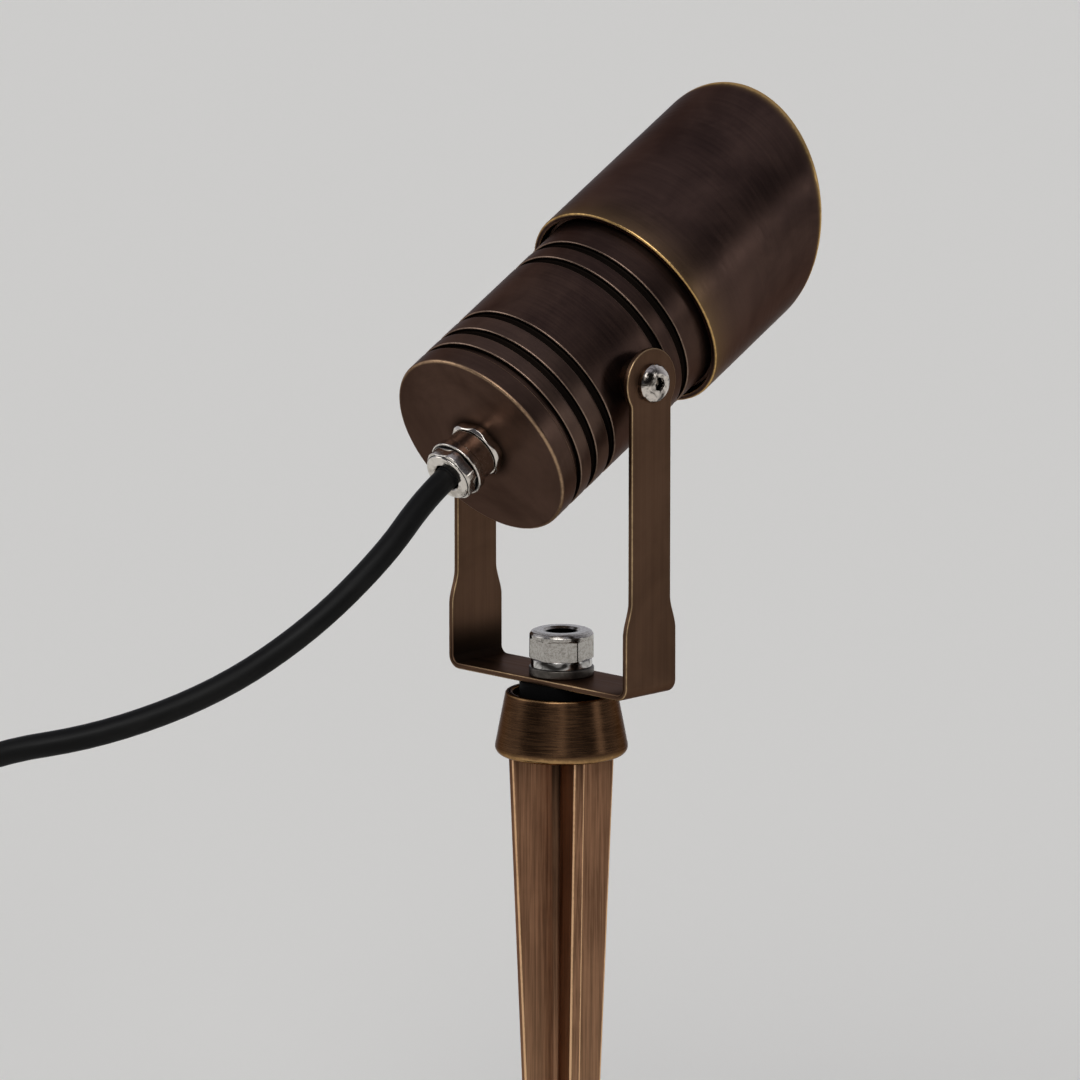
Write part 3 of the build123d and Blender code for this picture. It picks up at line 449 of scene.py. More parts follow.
def nut_flat(r, h):
    """Half width over flats: the nut's, opening by a smooth step to its round top."""
    step = smooth((h - NUT_Z[1] + NUT_LEDGE[0]) / (NUT_LEDGE[0] - NUT_LEDGE[1]))
    return NUT_HALF_FLATS + (NUT_ROUND_R[0] - NUT_HALF_FLATS) * NUT_OPENS * step + 0 * r


nut_outline = (
    (NUT_BORE_R, NUT_Z[0]), (NUT_ROUND_R[0], NUT_Z[0]), (NUT_ROUND_R[0], NUT_Z[1] - NUT_TOP[0]),
    (NUT_ROUND_R[1], NUT_Z[1] - NUT_TOP[1]), (NUT_ROUND_R[2], NUT_Z[1]), (NUT_BORE_R + NUT_SINK, NUT_Z[1]),
    (NUT_BORE_R, NUT_Z[1] - NUT_SINK))
nut_points, nut_wear_and_shade, nut_grain = turned(nut_outline, UPRIGHT, NUT_SOFT, band=0.2 * MM, ring=240,
                                         flat=nut_flat, flat_turn=NUT_TURN, step=0.15 * MM)
# Painted shade: each facet goes darker towards its edges below the top, and the bore goes near black.
nut_angle = np.arctan2(nut_points[..., 1], nut_points[..., 0]) - NUT_TURN
nut_facet = np.abs(from_facet(nut_angle)) / (pi / 6)
below_top = np.clip((NUT_Z[1] - NUT_LEDGE[1] - nut_points[..., 2]) / NUT_LEDGE[1], 0, 1)
painted_edge_shade = NUT_EDGE_PAINTED_SHADE * below_top * nut_facet ** NUT_EDGE_POWER * (nut_facet < NUT_EDGE_UNSHADED)
in_bore = np.linalg.norm(nut_points[..., :2], axis=-1) < NUT_BORE_R + BORE_MARGIN
nut_wear_and_shade = np.where(in_bore, -1.0, painted_edge_shade)
piece("swivel_hex_nut", [(nut_points, nut_wear_and_shade, nut_grain)], plated, "stake", "stainless_fastener",
      "swivel_nut")

washer_outline = (
    (NUT_BORE_R, FLAT_WASHER_Z[0]), (FLAT_WASHER_R, FLAT_WASHER_Z[0]), (FLAT_WASHER_R, FLAT_WASHER_Z[1]),
    (NUT_BORE_R, FLAT_WASHER_Z[1]))
piece("swivel_flat_washer", [turned(washer_outline, UPRIGHT, radius=0.3 * MM)], blackened, "stake",
      "dark_washer", "flat_washer")

spring_gap = SPRING_GAP / SPRING_R[1]
spring_angle = SPRING_TURN + np.linspace(spring_gap / 2, 2 * pi - spring_gap / 2, SPRING_ROWS)
spring_side, spring_wear = rounded(np.array((
    (SPRING_R[0], SPRING_Z[0]), (SPRING_R[1], SPRING_Z[0]), (SPRING_R[1], SPRING_Z[1]),
    (SPRING_R[0], SPRING_Z[1]))), SPRING_SOFT, SPRING_BAND)
spring_rise = SPRING_RISE * ((spring_angle - SPRING_TURN) / (2 * pi) - 0.5)[:, None]
spring_x = spring_side[:, 0] * np.cos(spring_angle)[:, None]
spring_y = spring_side[:, 0] * np.sin(spring_angle)[:, None]
spring_z = np.clip(spring_side[None, :, 1] + spring_rise, *SPRING_Z)
spring_points = np.stack((spring_x, spring_y, spring_z), axis=-1)
spring_ends = [end.mean(1, keepdims=True) + 0 * end for end in (spring_points[:1], spring_points[-1:])]
spring_points = np.concatenate((spring_ends[0], spring_points, spring_ends[1]))
spring_wear = np.tile(spring_wear, (len(spring_points), 1))
piece("swivel_spring_washer", [(spring_points, spring_wear, spring_points)], spring_steel, "stake",
      "stainless_fastener", "spring_washer")
dress(threaded, "swivel_stud")
dress(black_rubber, "swivel_bush")


# Bracket: one bronze strip blanked with a wide foot and round ears, then bent up into a U. The sheared edges
# are tumbled round and rubbed bright, a faint brush runs along the strip, and painted shade darkens the inner
# face near the bends.

STRIP_T = 1.55 * MM
BRACKET_HALF_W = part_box("bracket")[1].x
BRACKET_FOOT_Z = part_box("bracket")[0].z
BEND_R = 3.6 * MM
FOOT_HALF, ARM_HALF, EAR_R = 9.25 * MM, 7.2 * MM, 9.0 * MM
STEP_Z = (BRACKET_FOOT_Z + 17.5 * MM, BRACKET_FOOT_Z + 25.5 * MM)
STEP_SOFT = 0.6 * MM
NECK_R, NECK_RUN = 2.5 * MM, 7 * MM
STRIP_ROWS, EAR_ROWS, EDGE_ROWS = (8, 16, 6, 16, 10, 16), 26, 6
STRIP_EDGE = 0.4 * MM
STRIP_BAND = 1.0 * MM
BEND_SHADE, BEND_PAINTED_SHADE = 9.0 * MM, 0.8
joint = {row["name"]: row for row in frame["joints"]}
PIVOT = np.array(joint["head_tilt"]["pos_m"], dtype=float)

bracket_bronze = bronze("bracket_bronze", dark=(0.075, 0.042, 0.026), light=(0.129, 0.073, 0.046),
                        worn=(0.58, 0.40, 0.22), brush=(12, 700, 700), brushed=0.5, rough=0.38, bright=0.9)
bend_mid = BEND_R - STRIP_T / 2
foot_half = BRACKET_HALF_W - BEND_R
bend_end = foot_half + bend_mid * pi / 2
ear_s = bend_end + PIVOT[2] - BRACKET_FOOT_Z - BEND_R


def strip_half_width(s):
    """Half width of the blank s from its middle: foot, smooth step, arm, fillet of NECK_R, ear's circle."""
    z = BRACKET_FOOT_Z + BEND_R + s - bend_end
    step = smooth((z - STEP_Z[0] + STEP_SOFT) / (STEP_Z[1] - STEP_Z[0] + 2 * STEP_SOFT))
    arm = FOOT_HALF + (ARM_HALF - FOOT_HALF) * step
    fillet_s = ear_s - sqrt((EAR_R + NECK_R) ** 2 - (ARM_HALF + NECK_R) ** 2)
    joins_s = ear_s - (ear_s - fillet_s) * EAR_R / (EAR_R + NECK_R)
    fillet = ARM_HALF + NECK_R - np.sqrt(np.maximum(NECK_R ** 2 - (s - fillet_s) ** 2, 0))
    ear = np.sqrt(np.maximum(EAR_R ** 2 - (s - ear_s) ** 2, 0))
    return np.select((s < fillet_s, s < joins_s), (arm, fillet), ear)


def bent(s, y, out):
    """Point of the strip: s along foot, quarter turn of bend_mid and arm, y across, out from its middle."""
    side, far = np.sign(s), np.abs(s)
    bend = np.clip((far - foot_half) / bend_mid, 0, pi / 2)
    x = side * (np.minimum(far, foot_half) + (bend_mid + out) * np.sin(bend))
    z = BRACKET_FOOT_Z + STRIP_T / 2 + bend_mid - (bend_mid + out) * np.cos(bend)
    return np.stack((x, y, z + np.maximum(far - bend_end, 0)), axis=-1)


# The outline (s, half width) goes once round the blank. Rings step in from it where the edge rounds over.
step_s = bend_end + np.array(STEP_Z) - BRACKET_FOOT_Z - BEND_R
stops = (0, foot_half, bend_end, step_s[0], step_s[1], ear_s - NECK_RUN, ear_s)
half_s = [np.linspace(*stretch)[1:] for stretch in zip(stops, stops[1:], STRIP_ROWS)]
ear_end = ear_s + EAR_R * np.sin(np.linspace(0, pi / 2, EAR_ROWS))[1:]
half_s = np.concatenate(([0.0], *half_s, ear_end))
one_side = np.concatenate((-half_s[:0:-1], half_s))
blank_s = np.concatenate((one_side, one_side[-2:0:-1]))
blank_side = np.concatenate((-np.ones(len(one_side)), np.ones(len(one_side) - 2)))
blank_y = blank_side * strip_half_width(np.abs(blank_s))
blank = np.stack((blank_s, blank_y), axis=-1)
slope = np.roll(blank, -1, axis=0) - np.roll(blank, 1, axis=0)
slope = slope / np.linalg.norm(slope, axis=-1, keepdims=True)
inward = np.stack((-slope[:, 1], slope[:, 0]), axis=-1)
edge_turn = np.linspace(0, pi / 2, EDGE_ROWS)
inset = np.concatenate(((STRIP_BAND + STRIP_EDGE,), STRIP_EDGE * (1 - np.sin(edge_turn))))
level = np.concatenate(((STRIP_T / 2,), STRIP_T / 2 - STRIP_EDGE * (1 - np.cos(edge_turn))))
rim_wear_and_shade = np.concatenate(((0,), np.sin(np.linspace(0, pi, EDGE_ROWS))))
inset = np.concatenate((inset, inset[::-1]))[:, None]
level = np.concatenate((level, -level[::-1]))[:, None]
rim_wear_and_shade = np.concatenate((rim_wear_and_shade, rim_wear_and_shade[::-1]))[:, None] + 0 * blank_s
middle_s = np.clip(blank_s, -ear_s, ear_s)[None]
ring_s = np.concatenate((middle_s, blank_s + inset * inward[:, 0], middle_s))
ring_y = np.concatenate((0 * middle_s, blank_y + inset * inward[:, 1], 0 * middle_s))
ring_out = np.concatenate((level[:1], level, level[-1:])) + 0 * ring_s
rim_wear_and_shade = np.concatenate((rim_wear_and_shade[:1], rim_wear_and_shade, rim_wear_and_shade[-1:]))
# Painted shade: the inner face of the U goes darker near the bends, where the arms and foot shade it.
bend_from = (np.abs(ring_s) - bend_end) / BEND_SHADE
rim_wear_and_shade = rim_wear_and_shade - BEND_PAINTED_SHADE * (ring_out < 0) * np.exp(-bend_from * bend_from)
strip_grain = np.stack((ring_s, ring_y, ring_out), axis=-1)
piece("bracket_strip", [(bent(ring_s, ring_y, ring_out), rim_wear_and_shade, strip_grain)], bracket_bronze, "bracket",
      "antique_bronze_strip", "bracket")


# Pivots: two stainless button-head screws clamp the ears against brass spacers on the lamp body, each with a
# wave washer that gives the friction. The heads are polished, with dark patches of painted reflection, and
# their hexagon sockets are darkened by painted shade.

SCREW_R, SCREW_RIM, SCREW_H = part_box("pivot_screws")[1].y, 0.6 * MM, 2.75 * MM
SCREW_CROWN_R, SCREW_CROWN_ROWS = 2.15 * MM, 9
SCREW_GAP = 0.05 * MM
SOCKET_HALF_FLATS = 1.7 * MM
SOCKET_DEPTH = 1.6 * MM
SOCKET_TURN = 0.3
SOCKET_FLOOR_R, SOCKET_FLOOR_SHADE = 1.0 * MM, -0.3
SOCKET_MARGIN, SOCKET_SHADE_MARGIN = 0.2 * MM, 0.05 * MM
NO_FLAT = 1.0

# Painted reflection: the screw heads' near-black patches stand in for reflected dark surroundings.
stainless = polished("polished_stainless", colour=(0.72, 0.66, 0.60), dark=(0.05, 0.043, 0.037),
                     patch=2.6 * MM, rough=0.06, scratch=(2500, 2500, 2500))
dark_brass = polished("pivot_dark_brass", colour=(0.062, 0.040, 0.026), dark=(0.025, 0.016, 0.010),
                      patch=3 * MM, rough=0.34, scratch=(900, 900, 900))
socket_corner = SOCKET_HALF_FLATS / cos(pi / 6)
crown_turn = np.linspace(pi / 2, 0, SCREW_CROWN_ROWS)
crown = np.stack((SCREW_CROWN_R + (SCREW_R - SCREW_CROWN_R) * np.sin(crown_turn),
                  SCREW_RIM + (SCREW_H - SCREW_RIM) * np.cos(crown_turn)), axis=-1)
button = np.concatenate((((0, 0), (SCREW_R, 0)), crown, (
    (socket_corner, SCREW_H), (socket_corner, SCREW_H - SOCKET_DEPTH), (0, SCREW_H - SOCKET_DEPTH))))


def socket_flat(r, h):
    """Half width over flats: the socket's inside its corners, and none outside."""
    in_socket = (r < socket_corner + SOCKET_MARGIN) & (h > SCREW_RIM)
    return np.where(in_socket, SOCKET_HALF_FLATS, NO_FLAT)


heads = []
for side in (-1, 1):
    seat = (PIVOT + (side * (BRACKET_HALF_W + SCREW_GAP), 0, 0), (0, side, 0), (0, 0, 1), (side, 0, 0))
    head_points, head_wear, head_grain = turned(
        button, seat, radius=0.12 * MM, band=0.15 * MM, ring=120, closed=False, flat=socket_flat,
        flat_turn=SOCKET_TURN, step=0.2 * MM)
    # Painted shade: the socket goes darker with depth, its floor a little less dark.
    sunk = SCREW_H + SCREW_GAP - (side * head_points[..., 0] - BRACKET_HALF_W)
    from_middle = np.linalg.norm(head_points[..., 1:] - PIVOT[1:], axis=-1)
    painted_socket_shade = np.where(from_middle < SOCKET_FLOOR_R, SOCKET_FLOOR_SHADE, -sunk / SOCKET_DEPTH)
    in_socket = from_middle < socket_corner + SOCKET_SHADE_MARGIN
    heads.append((head_points, np.where(in_socket, painted_socket_shade, np.maximum(head_wear, 0)), head_grain))
piece("pivot_screw_heads", heads, stainless, "head", "stainless_fastener", "pivot_screws")
dress(dark_brass, "pivot_spacers", "pivot_washers")


# Lamp body: a tube turned from bar, with four thin grooves, two each side of the pivots, and a larger nose
# that the cowl slips over. Its satin patina is worn along the groove edges and on the rear ribs, and the
# grooves are painted black as shade.

COWL_AXIS = np.array(joint["cowl_turn"]["axis"], dtype=float)
AXIS = COWL_AXIS / np.linalg.norm(COWL_AXIS)
HEAD_X = np.array((-1.0, 0.0, 0.0))
HEAD_Y = np.cross(AXIS, HEAD_X)
REAR_TO_PIVOT = 34.3 * MM
HEAD = (PIVOT - REAR_TO_PIVOT * AXIS, HEAD_X, HEAD_Y, AXIS)
BODY_R, GROOVE_R = 26.9 * MM, 25.6 * MM
BODY_U = (7.9 * MM, 63.4 * MM, 76.0 * MM)
NOSE_R, SEAT_R, SEAT_U = 28.1 * MM, 26.4 * MM, 70.3 * MM
BORE_R, BORE_U, THROAT_R = 25.3 * MM, (14.0 * MM, 58.0 * MM), 22.5 * MM
GROOVES = np.array((13.3, 20.7, 44.9, 51.7)) * MM
GROOVE_W = 2.4 * MM
GROOVE_MARGIN = (0.1 * MM, 0.35 * MM)
RIB_RUBBED, RIB_MARGIN = 0.35, 0.2 * MM

turned_bronze = bronze("turned_bronze", dark=(0.043, 0.026, 0.022), light=(0.102, 0.061, 0.046),
                       worn=(0.34, 0.24, 0.18), brush=(50, 50, 1800), brushed=0.22, rough=0.36, bright=0.85)


def off_axis(points):
    """How far along the head's axis points lie from the rear face, and how far out from the axis."""
    from_rear = points - HEAD[0]
    u = from_rear @ AXIS
    return u, np.linalg.norm(from_rear - u[..., None] * AXIS, axis=-1)


groove_u = GROOVES[:, None] + GROOVE_W * np.array((-0.5, -0.5, 0.5, 0.5))
groove_r = np.tile((BODY_R, GROOVE_R, GROOVE_R, BODY_R), (len(GROOVES), 1))
body_outline = np.concatenate((
    ((THROAT_R, BODY_U[0]), (BODY_R, BODY_U[0])), np.stack((groove_r, groove_u), axis=-1).reshape(-1, 2),
    ((BODY_R, BODY_U[1]), (NOSE_R, BODY_U[1]), (NOSE_R, BODY_U[2]), (SEAT_R, BODY_U[2]), (SEAT_R, SEAT_U),
     (THROAT_R, SEAT_U), (THROAT_R, BORE_U[1]), (BORE_R, BORE_U[1]), (BORE_R, BORE_U[0]),
     (THROAT_R, BORE_U[0]))))
body_points, body_wear_and_shade, body_grain = turned(body_outline, HEAD, band=0.5 * MM, ring=200)
body_u, body_off = off_axis(body_points)
# Painted shade: the inside of each groove goes near black.
in_groove = (body_off > GROOVE_R - GROOVE_MARGIN[0]) & (body_off < BODY_R - GROOVE_MARGIN[1])
in_groove = in_groove & (body_u < BODY_U[1])
rear_ribs = RIB_RUBBED * (body_off > BODY_R - RIB_MARGIN) * (body_u < GROOVES[1])
body_wear_and_shade = np.where(in_groove, -1.0, np.maximum(body_wear_and_shade, rear_ribs))
piece("lamp_body_tube", [(body_points, body_wear_and_shade, body_grain)], turned_bronze, "head",
      "antique_bronze_turned", "lamp_body")


# Rear cap: a turned bronze disc that screws into the back of the body on a spigot, with a rubber ring behind
# its shadow gap. Its rounded rim is rubbed bright, and its middle is drilled for the cable gland, with
# painted shadow and reflection of the gland darkening the face round the hole.

CAP_HOLE_R, CAP_RIM_R = 6.05 * MM, 26.9 * MM
CAP_SOFT = np.array((0.2, 0.9, 0.4, 0.2, 0.2, 0.2, 0.2, 0.2, 0.2, 0.2)) * MM
CAP_T, CAP_NECK_R, SPIGOT_R, CUP_R = 5.9 * MM, 25.6 * MM, 22.4 * MM, 18.5 * MM
SPIGOT_U = 14.0 * MM
CAP_PAINTED_SHADE, CAP_PAINTED_SHADE_R, CAP_PAINTED_SHADE_RUN, CAP_PAINTED_SHADE_END = 0.8, 7.6 * MM, 2.5 * MM, 10 * MM
CAP_FACE_U = 0.2 * MM

cap_bronze = bronze("cap_bronze", dark=(0.055, 0.033, 0.025), light=(0.107, 0.065, 0.049),
                    worn=(0.46, 0.30, 0.18), brush=(50, 50, 1800), brushed=0.22, rough=0.36, bright=0.9)
cap_outline = (
    (CAP_HOLE_R, 0), (CAP_RIM_R, 0), (CAP_RIM_R, CAP_T), (CAP_NECK_R, CAP_T), (CAP_NECK_R, BODY_U[0]),
    (SPIGOT_R, BODY_U[0]), (SPIGOT_R, SPIGOT_U), (CUP_R, SPIGOT_U), (CUP_R, CAP_T), (CAP_HOLE_R, CAP_T))
cap_points, cap_wear_and_shade, cap_grain = turned(cap_outline, HEAD, CAP_SOFT, band=0.5 * MM, ring=200, step=1.0 * MM)
cap_u, cap_off = off_axis(cap_points)
# Painted shadow and reflection: the cap's face darkens round the gland.
from_gland = cap_off - CAP_PAINTED_SHADE_R
gland_painted_shade = -CAP_PAINTED_SHADE * np.exp(-np.maximum(from_gland, 0) / CAP_PAINTED_SHADE_RUN) * (cap_u < CAP_FACE_U)
cap_wear_and_shade = np.where(from_gland < CAP_PAINTED_SHADE_END, gland_painted_shade, cap_wear_and_shade)
piece("rear_cap_disc", [(cap_points, cap_wear_and_shade, cap_grain)], cap_bronze, "head", "antique_bronze_turned",
      "rear_cap")
dress(black_rubber, "rear_cap_o_ring", "cowl_o_ring", "lens_gasket", "gland_seal")


# Lamp and its holder: a pin-base reflector lamp in a ceramic holder on a zinc-plated bridge, wired to the
# cable's three cores. A pane of glass on a gasket closes the front, held by a bronze ring.

EARTH_TWIST, EARTH_SPAN = (1500, 900, 900), (-0.1, 0.3)
EARTH_GREEN, EARTH_YELLOW = (0.02, 0.16, 0.025, 1), (0.62, 0.46, 0.02, 1)
HAZE_SCALE, HAZE_SPAN, HAZE_ROUGH = (120, 120, 120), (0.35, 0.75), (0.02, 0.07)
GLASS_COLOUR, GLASS_IOR = (0.95, 0.97, 0.96, 1), 1.5

lamp_white = mouldings("lamp_housing_white", colour=(0.62, 0.62, 0.60), rough=0.38, cell=0.5 * MM,
                       mottle=0.12, bumps=0.08)
diffuser = mouldings("lamp_diffuser_frosted", colour=(0.72, 0.71, 0.66), rough=0.45, cell=2.4 * MM,
                     mottle=0.1, bumps=0.6)
ceramic = mouldings("holder_ceramic", colour=(0.58, 0.55, 0.49), rough=0.6, cell=0.3 * MM, mottle=0.2)
zinc = polished("zinc_plated_steel", colour=(0.50, 0.50, 0.51), dark=(0.30, 0.30, 0.31), patch=5 * MM,
                rough=0.27, scratch=(700, 700, 700))
contact = polished("lamp_contact_metal", colour=(0.60, 0.56, 0.48), dark=(0.40, 0.36, 0.30), patch=2 * MM,
                   rough=0.2, scratch=(1500, 1500, 1500))
core_brown = mouldings("core_brown", colour=(0.085, 0.032, 0.014), rough=0.42, cell=0.4 * MM, mottle=0.25)
core_blue = mouldings("core_blue", colour=(0.012, 0.055, 0.24), rough=0.42, cell=0.4 * MM, mottle=0.25)
core_earth = mouldings("core_green_yellow", colour=(0.10, 0.30, 0.03), rough=0.42, cell=0.4 * MM, mottle=0.25)
earth_tree = core_earth.node_tree
earth_place = add(earth_tree, "TexCoord", {}).outputs["Object"]
earth_twist = add(earth_tree, "VectorMath", {0: earth_place, 1: EARTH_TWIST}, operation="DOT_PRODUCT")
earth_stripe = sums(earth_tree, "SINE", earth_twist.outputs["Value"], 0.0)
earth_stripe = ramp(earth_tree, earth_stripe, *EARTH_SPAN)
earth_colour = mixed(earth_tree, earth_stripe, EARTH_GREEN, EARTH_YELLOW)
earth_tree.links.new(earth_colour, earth_tree.nodes["Principled BSDF"].inputs["Base Color"])
glass, glass_tree, glass_shader = new_finish("lens_glass")
haze = grained(glass_tree, add(glass_tree, "TexCoord", {}).outputs["Object"], HAZE_SCALE)
glass_tree.links.new(ramp(glass_tree, haze, *HAZE_SPAN, *HAZE_ROUGH), glass_shader.inputs["Roughness"])
glass_shader.inputs["Base Color"].default_value = GLASS_COLOUR
glass_shader.inputs["Transmission Weight"].default_value = 1.0
glass_shader.inputs["IOR"].default_value = GLASS_IOR
ring_bronze = mouldings("lens_ring_bronze", colour=(0.066, 0.040, 0.032), rough=0.4, cell=0.25 * MM)
ring_bronze.node_tree.nodes["Principled BSDF"].inputs["Metallic"].default_value = 1.0
dress(ring_bronze, "lens_ring")
dress(lamp_white, "lamp_housing")
dress(diffuser, "lamp_face")
dress(ceramic, "lamp_holder")
dress(zinc, "holder_bridge", "bridge_screws", "holder_screws", "earth_screw")
dress(contact, "lamp_pins")
dress(core_brown, "wire_live", "core_live")
dress(core_blue, "wire_neutral", "core_neutral")
dress(core_earth, "wire_earth", "core_earth")
dress(glass, "front_lens")


# Cowl: a spun bronze tube that shades the lamp and turns on the body's nose, its front cut on a slant so that
# it is longest above. The rolled rear lip and the cut front edge are rubbed to brass.

COWL_R, COWL_BORE_R = 30.0 * MM, 28.4 * MM
COWL_U = (60.9 * MM, 106.8 * MM)
COWL_STOP_R, COWL_STOP_U = 27.0 * MM, (76.3 * MM, 77.8 * MM)
COWL_SLANT = tan(radians(27.5))
COWL_LONGEST = radians(90 + 14)
COWL_LIP_RUBBED, COWL_RUBBED_RUN = 0.52, (7.0 * MM, 0.6 * MM)
COWL_SOFT = np.array((0.2, 0.9, 0.8, 0.4, 0.2, 0.2, 0.2, 0.2)) * MM
COWL_MARGIN = 0.3 * MM

cowl_bronze = bronze("cowl_bronze", dark=(0.046, 0.028, 0.024), light=(0.098, 0.059, 0.047),
                     worn=(0.66, 0.42, 0.16), brush=(50, 50, 1800), brushed=0.2, rough=0.36)
cowl_outline = (
    (COWL_BORE_R, COWL_U[0]), (COWL_R, COWL_U[0]), (COWL_R, COWL_U[1]), (COWL_BORE_R, COWL_U[1]),
    (COWL_BORE_R, COWL_STOP_U[1]), (COWL_STOP_R, COWL_STOP_U[1]), (COWL_STOP_R, COWL_STOP_U[0]),
    (COWL_BORE_R, COWL_STOP_U[0]))
shade_points, shade_wear, shade_grain = turned(cowl_outline, HEAD, COWL_SOFT, band=0.9 * MM, ring=220,
                                               step=0.5 * MM)
shade_u, shade_off = off_axis(shade_points)
rubbed_lip = COWL_LIP_RUBBED * np.exp((COWL_U[0] - shade_u) / COWL_RUBBED_RUN[0])
rubbed_lip = rubbed_lip + np.exp((shade_u - COWL_U[1] + COWL_SOFT[2]) / COWL_RUBBED_RUN[1])
outside = shade_off > COWL_R - COWL_MARGIN
shade_wear = np.where(outside, np.maximum(shade_wear, rubbed_lip), shade_wear)
forward = np.clip((shade_u - COWL_STOP_U[1]) / (COWL_U[1] - COWL_STOP_U[1]), 0, 1)
longest_side = HEAD_X * cos(COWL_LONGEST) + HEAD_Y * sin(COWL_LONGEST)
slant = forward * ((shade_points - HEAD[0]) @ longest_side) * COWL_SLANT
shade_points = shade_points + slant[..., None] * AXIS
piece("cowl_tube", [(shade_points, shade_wear, shade_grain)], cowl_bronze, "cowl", "antique_bronze_turned",
      "cowl")


# Cable gland: a nickel-plated body with a hexagon against the cap, and a clamp nut with a round skirt, a
# ridge, a hexagon and a domed mouth that squeezes a rubber seal on the cable.

GLAND_HEX_HALF, GLAND_ROUND_R, GLAND_HEX_U = 7.4 * MM, 7.9 * MM, (-2.6 * MM, 0.0)
GLAND_CHAMFER = (0.2 * MM, 0.7 * MM)
GLAND_MOUTH_R, GLAND_FACE_R = 3.65 * MM, 6.6 * MM
GLAND_TURN = pi / 6
CLAMP_U = (-14.1 * MM, -13.0 * MM, -10.2 * MM, -8.0 * MM, -2.9 * MM)
CLAMP_HEX_HALF, CLAMP_ROUND_R = 6.8 * MM, 7.3 * MM
CLAMP_RIDGE_R, CLAMP_SKIRT_R = 7.9 * MM, 7.0 * MM
CLAMP_RIDGE_SLOPE = (0.2 * MM, 0.3 * MM)
CLAMP_HEX_MARGIN = 0.02 * MM
MOUTH_CHAMFER, MOUTH_DOME, MOUTH_FROM, MOUTH_ROWS = 0.4 * MM, 0.6 * MM, 0.2, 6

nickel = polished("nickel_plate", colour=(0.78, 0.73, 0.665), dark=(0.52, 0.475, 0.42), patch=3 * MM,
                  rough=0.07, scratch=(1800, 1800, 1800))


def gland_flat(r, h):
    """Half width over flats of the gland body's hexagon, the same at every height."""
    return GLAND_HEX_HALF + 0 * r


def clamp_flat(r, h):
    """Half width over flats of the clamp nut: its hexagon's up to the ridge, and none past that."""
    return np.where(h <= CLAMP_U[2] + CLAMP_HEX_MARGIN, CLAMP_HEX_HALF, NO_FLAT)


gland_outline = (
    (GLAND_MOUTH_R, GLAND_HEX_U[0]), (GLAND_HEX_HALF - GLAND_CHAMFER[0], GLAND_HEX_U[0]),
    (GLAND_ROUND_R, GLAND_HEX_U[0] + GLAND_CHAMFER[1]), (GLAND_ROUND_R, GLAND_HEX_U[1]),
    (GLAND_MOUTH_R, GLAND_HEX_U[1]))
gland_hex = turned(gland_outline, HEAD, radius=0.12 * MM, band=0.2 * MM, flat=gland_flat,
                   flat_turn=GLAND_TURN, step=0.2 * MM)
piece("gland_hex_body", [gland_hex], nickel, "head", "nickel_gland", "gland_body")
dome_turn = np.linspace(MOUTH_FROM, 1, MOUTH_ROWS) * pi / 2
mouth = np.stack((GLAND_FACE_R - (GLAND_FACE_R - GLAND_MOUTH_R) * 0.5 * (1 - np.sin(dome_turn)),
                  CLAMP_U[0] + MOUTH_DOME * (1 - np.cos(dome_turn))), axis=-1)
clamp_outline = np.concatenate((
    ((GLAND_MOUTH_R, CLAMP_U[0] + MOUTH_CHAMFER), (GLAND_MOUTH_R + MOUTH_CHAMFER, CLAMP_U[0])), mouth, (
        (CLAMP_ROUND_R, CLAMP_U[1]), (CLAMP_ROUND_R, CLAMP_U[2]),
        (CLAMP_RIDGE_R, CLAMP_U[2] + CLAMP_RIDGE_SLOPE[0]), (CLAMP_RIDGE_R, CLAMP_U[3]),
        (CLAMP_SKIRT_R, CLAMP_U[3] + CLAMP_RIDGE_SLOPE[1]), (CLAMP_SKIRT_R, CLAMP_U[4]),
        (GLAND_MOUTH_R, CLAMP_U[4]))))
clamp_nut = turned(clamp_outline, HEAD, radius=0.2 * MM, band=0.3 * MM, flat=clamp_flat, flat_turn=GLAND_TURN,
                   step=0.2 * MM)
piece("gland_clamp_nut", [clamp_nut], nickel, "head", "nickel_gland", "gland_nut")
dress(nickel, "gland_locknut")


# Supply cable: a round black rubber flex that leaves the gland along the lamp's axis, drops in a loose curve
# beside the bracket and is wound into a flat coil in two layers. About a metre and a half comes with it.

CABLE_D = 6.4 * MM
CABLE_OUT = 9 * MM
CABLE_ROUTE = np.array((
    (0.5, -65, 61.5), (-7, -84, 44), (-19.5, -105, 29), (-38, -128, 18.5), (-58.5, -148.5, 14),
    (-84, -158.5, -1), (-115, -155.5, -30), (-139, -138, -70), (-152.5, -108.5, -109), (-152.5, -73, -138.5),
    (-137, -39, -155.5), (-109.6, -11.8, -161.6), (-83.3, -2.2, -161.6))) * MM
COIL_RADIUS, COIL_PITCH, COIL_CLIMB = 43 * MM, 7.0 * MM, 1.4 * MM
COIL_HALF_TURNS = 4
TURN_POINTS = 24
LAY_STEPS = 6
TUBE_RING = 24
DRAWN_SCALE, DRAWN_SPAN, DRAWN_ROUGH = (900, 900, 25), (0.25, 0.75), (0.42, 0.58)
DRAWN_STRENGTH, DRAWN_DEPTH = 0.2, 0.08 * MM
SCUFF_SCALE, SCUFF_SPAN = (180, 180, 60), (0.35, 0.75)
SHEATH_BLACK, SHEATH_SCUFFED = (0.0025, 0.0025, 0.0024, 1), (0.006, 0.0058, 0.0054, 1)
SHEATH_SHEEN = 0.13

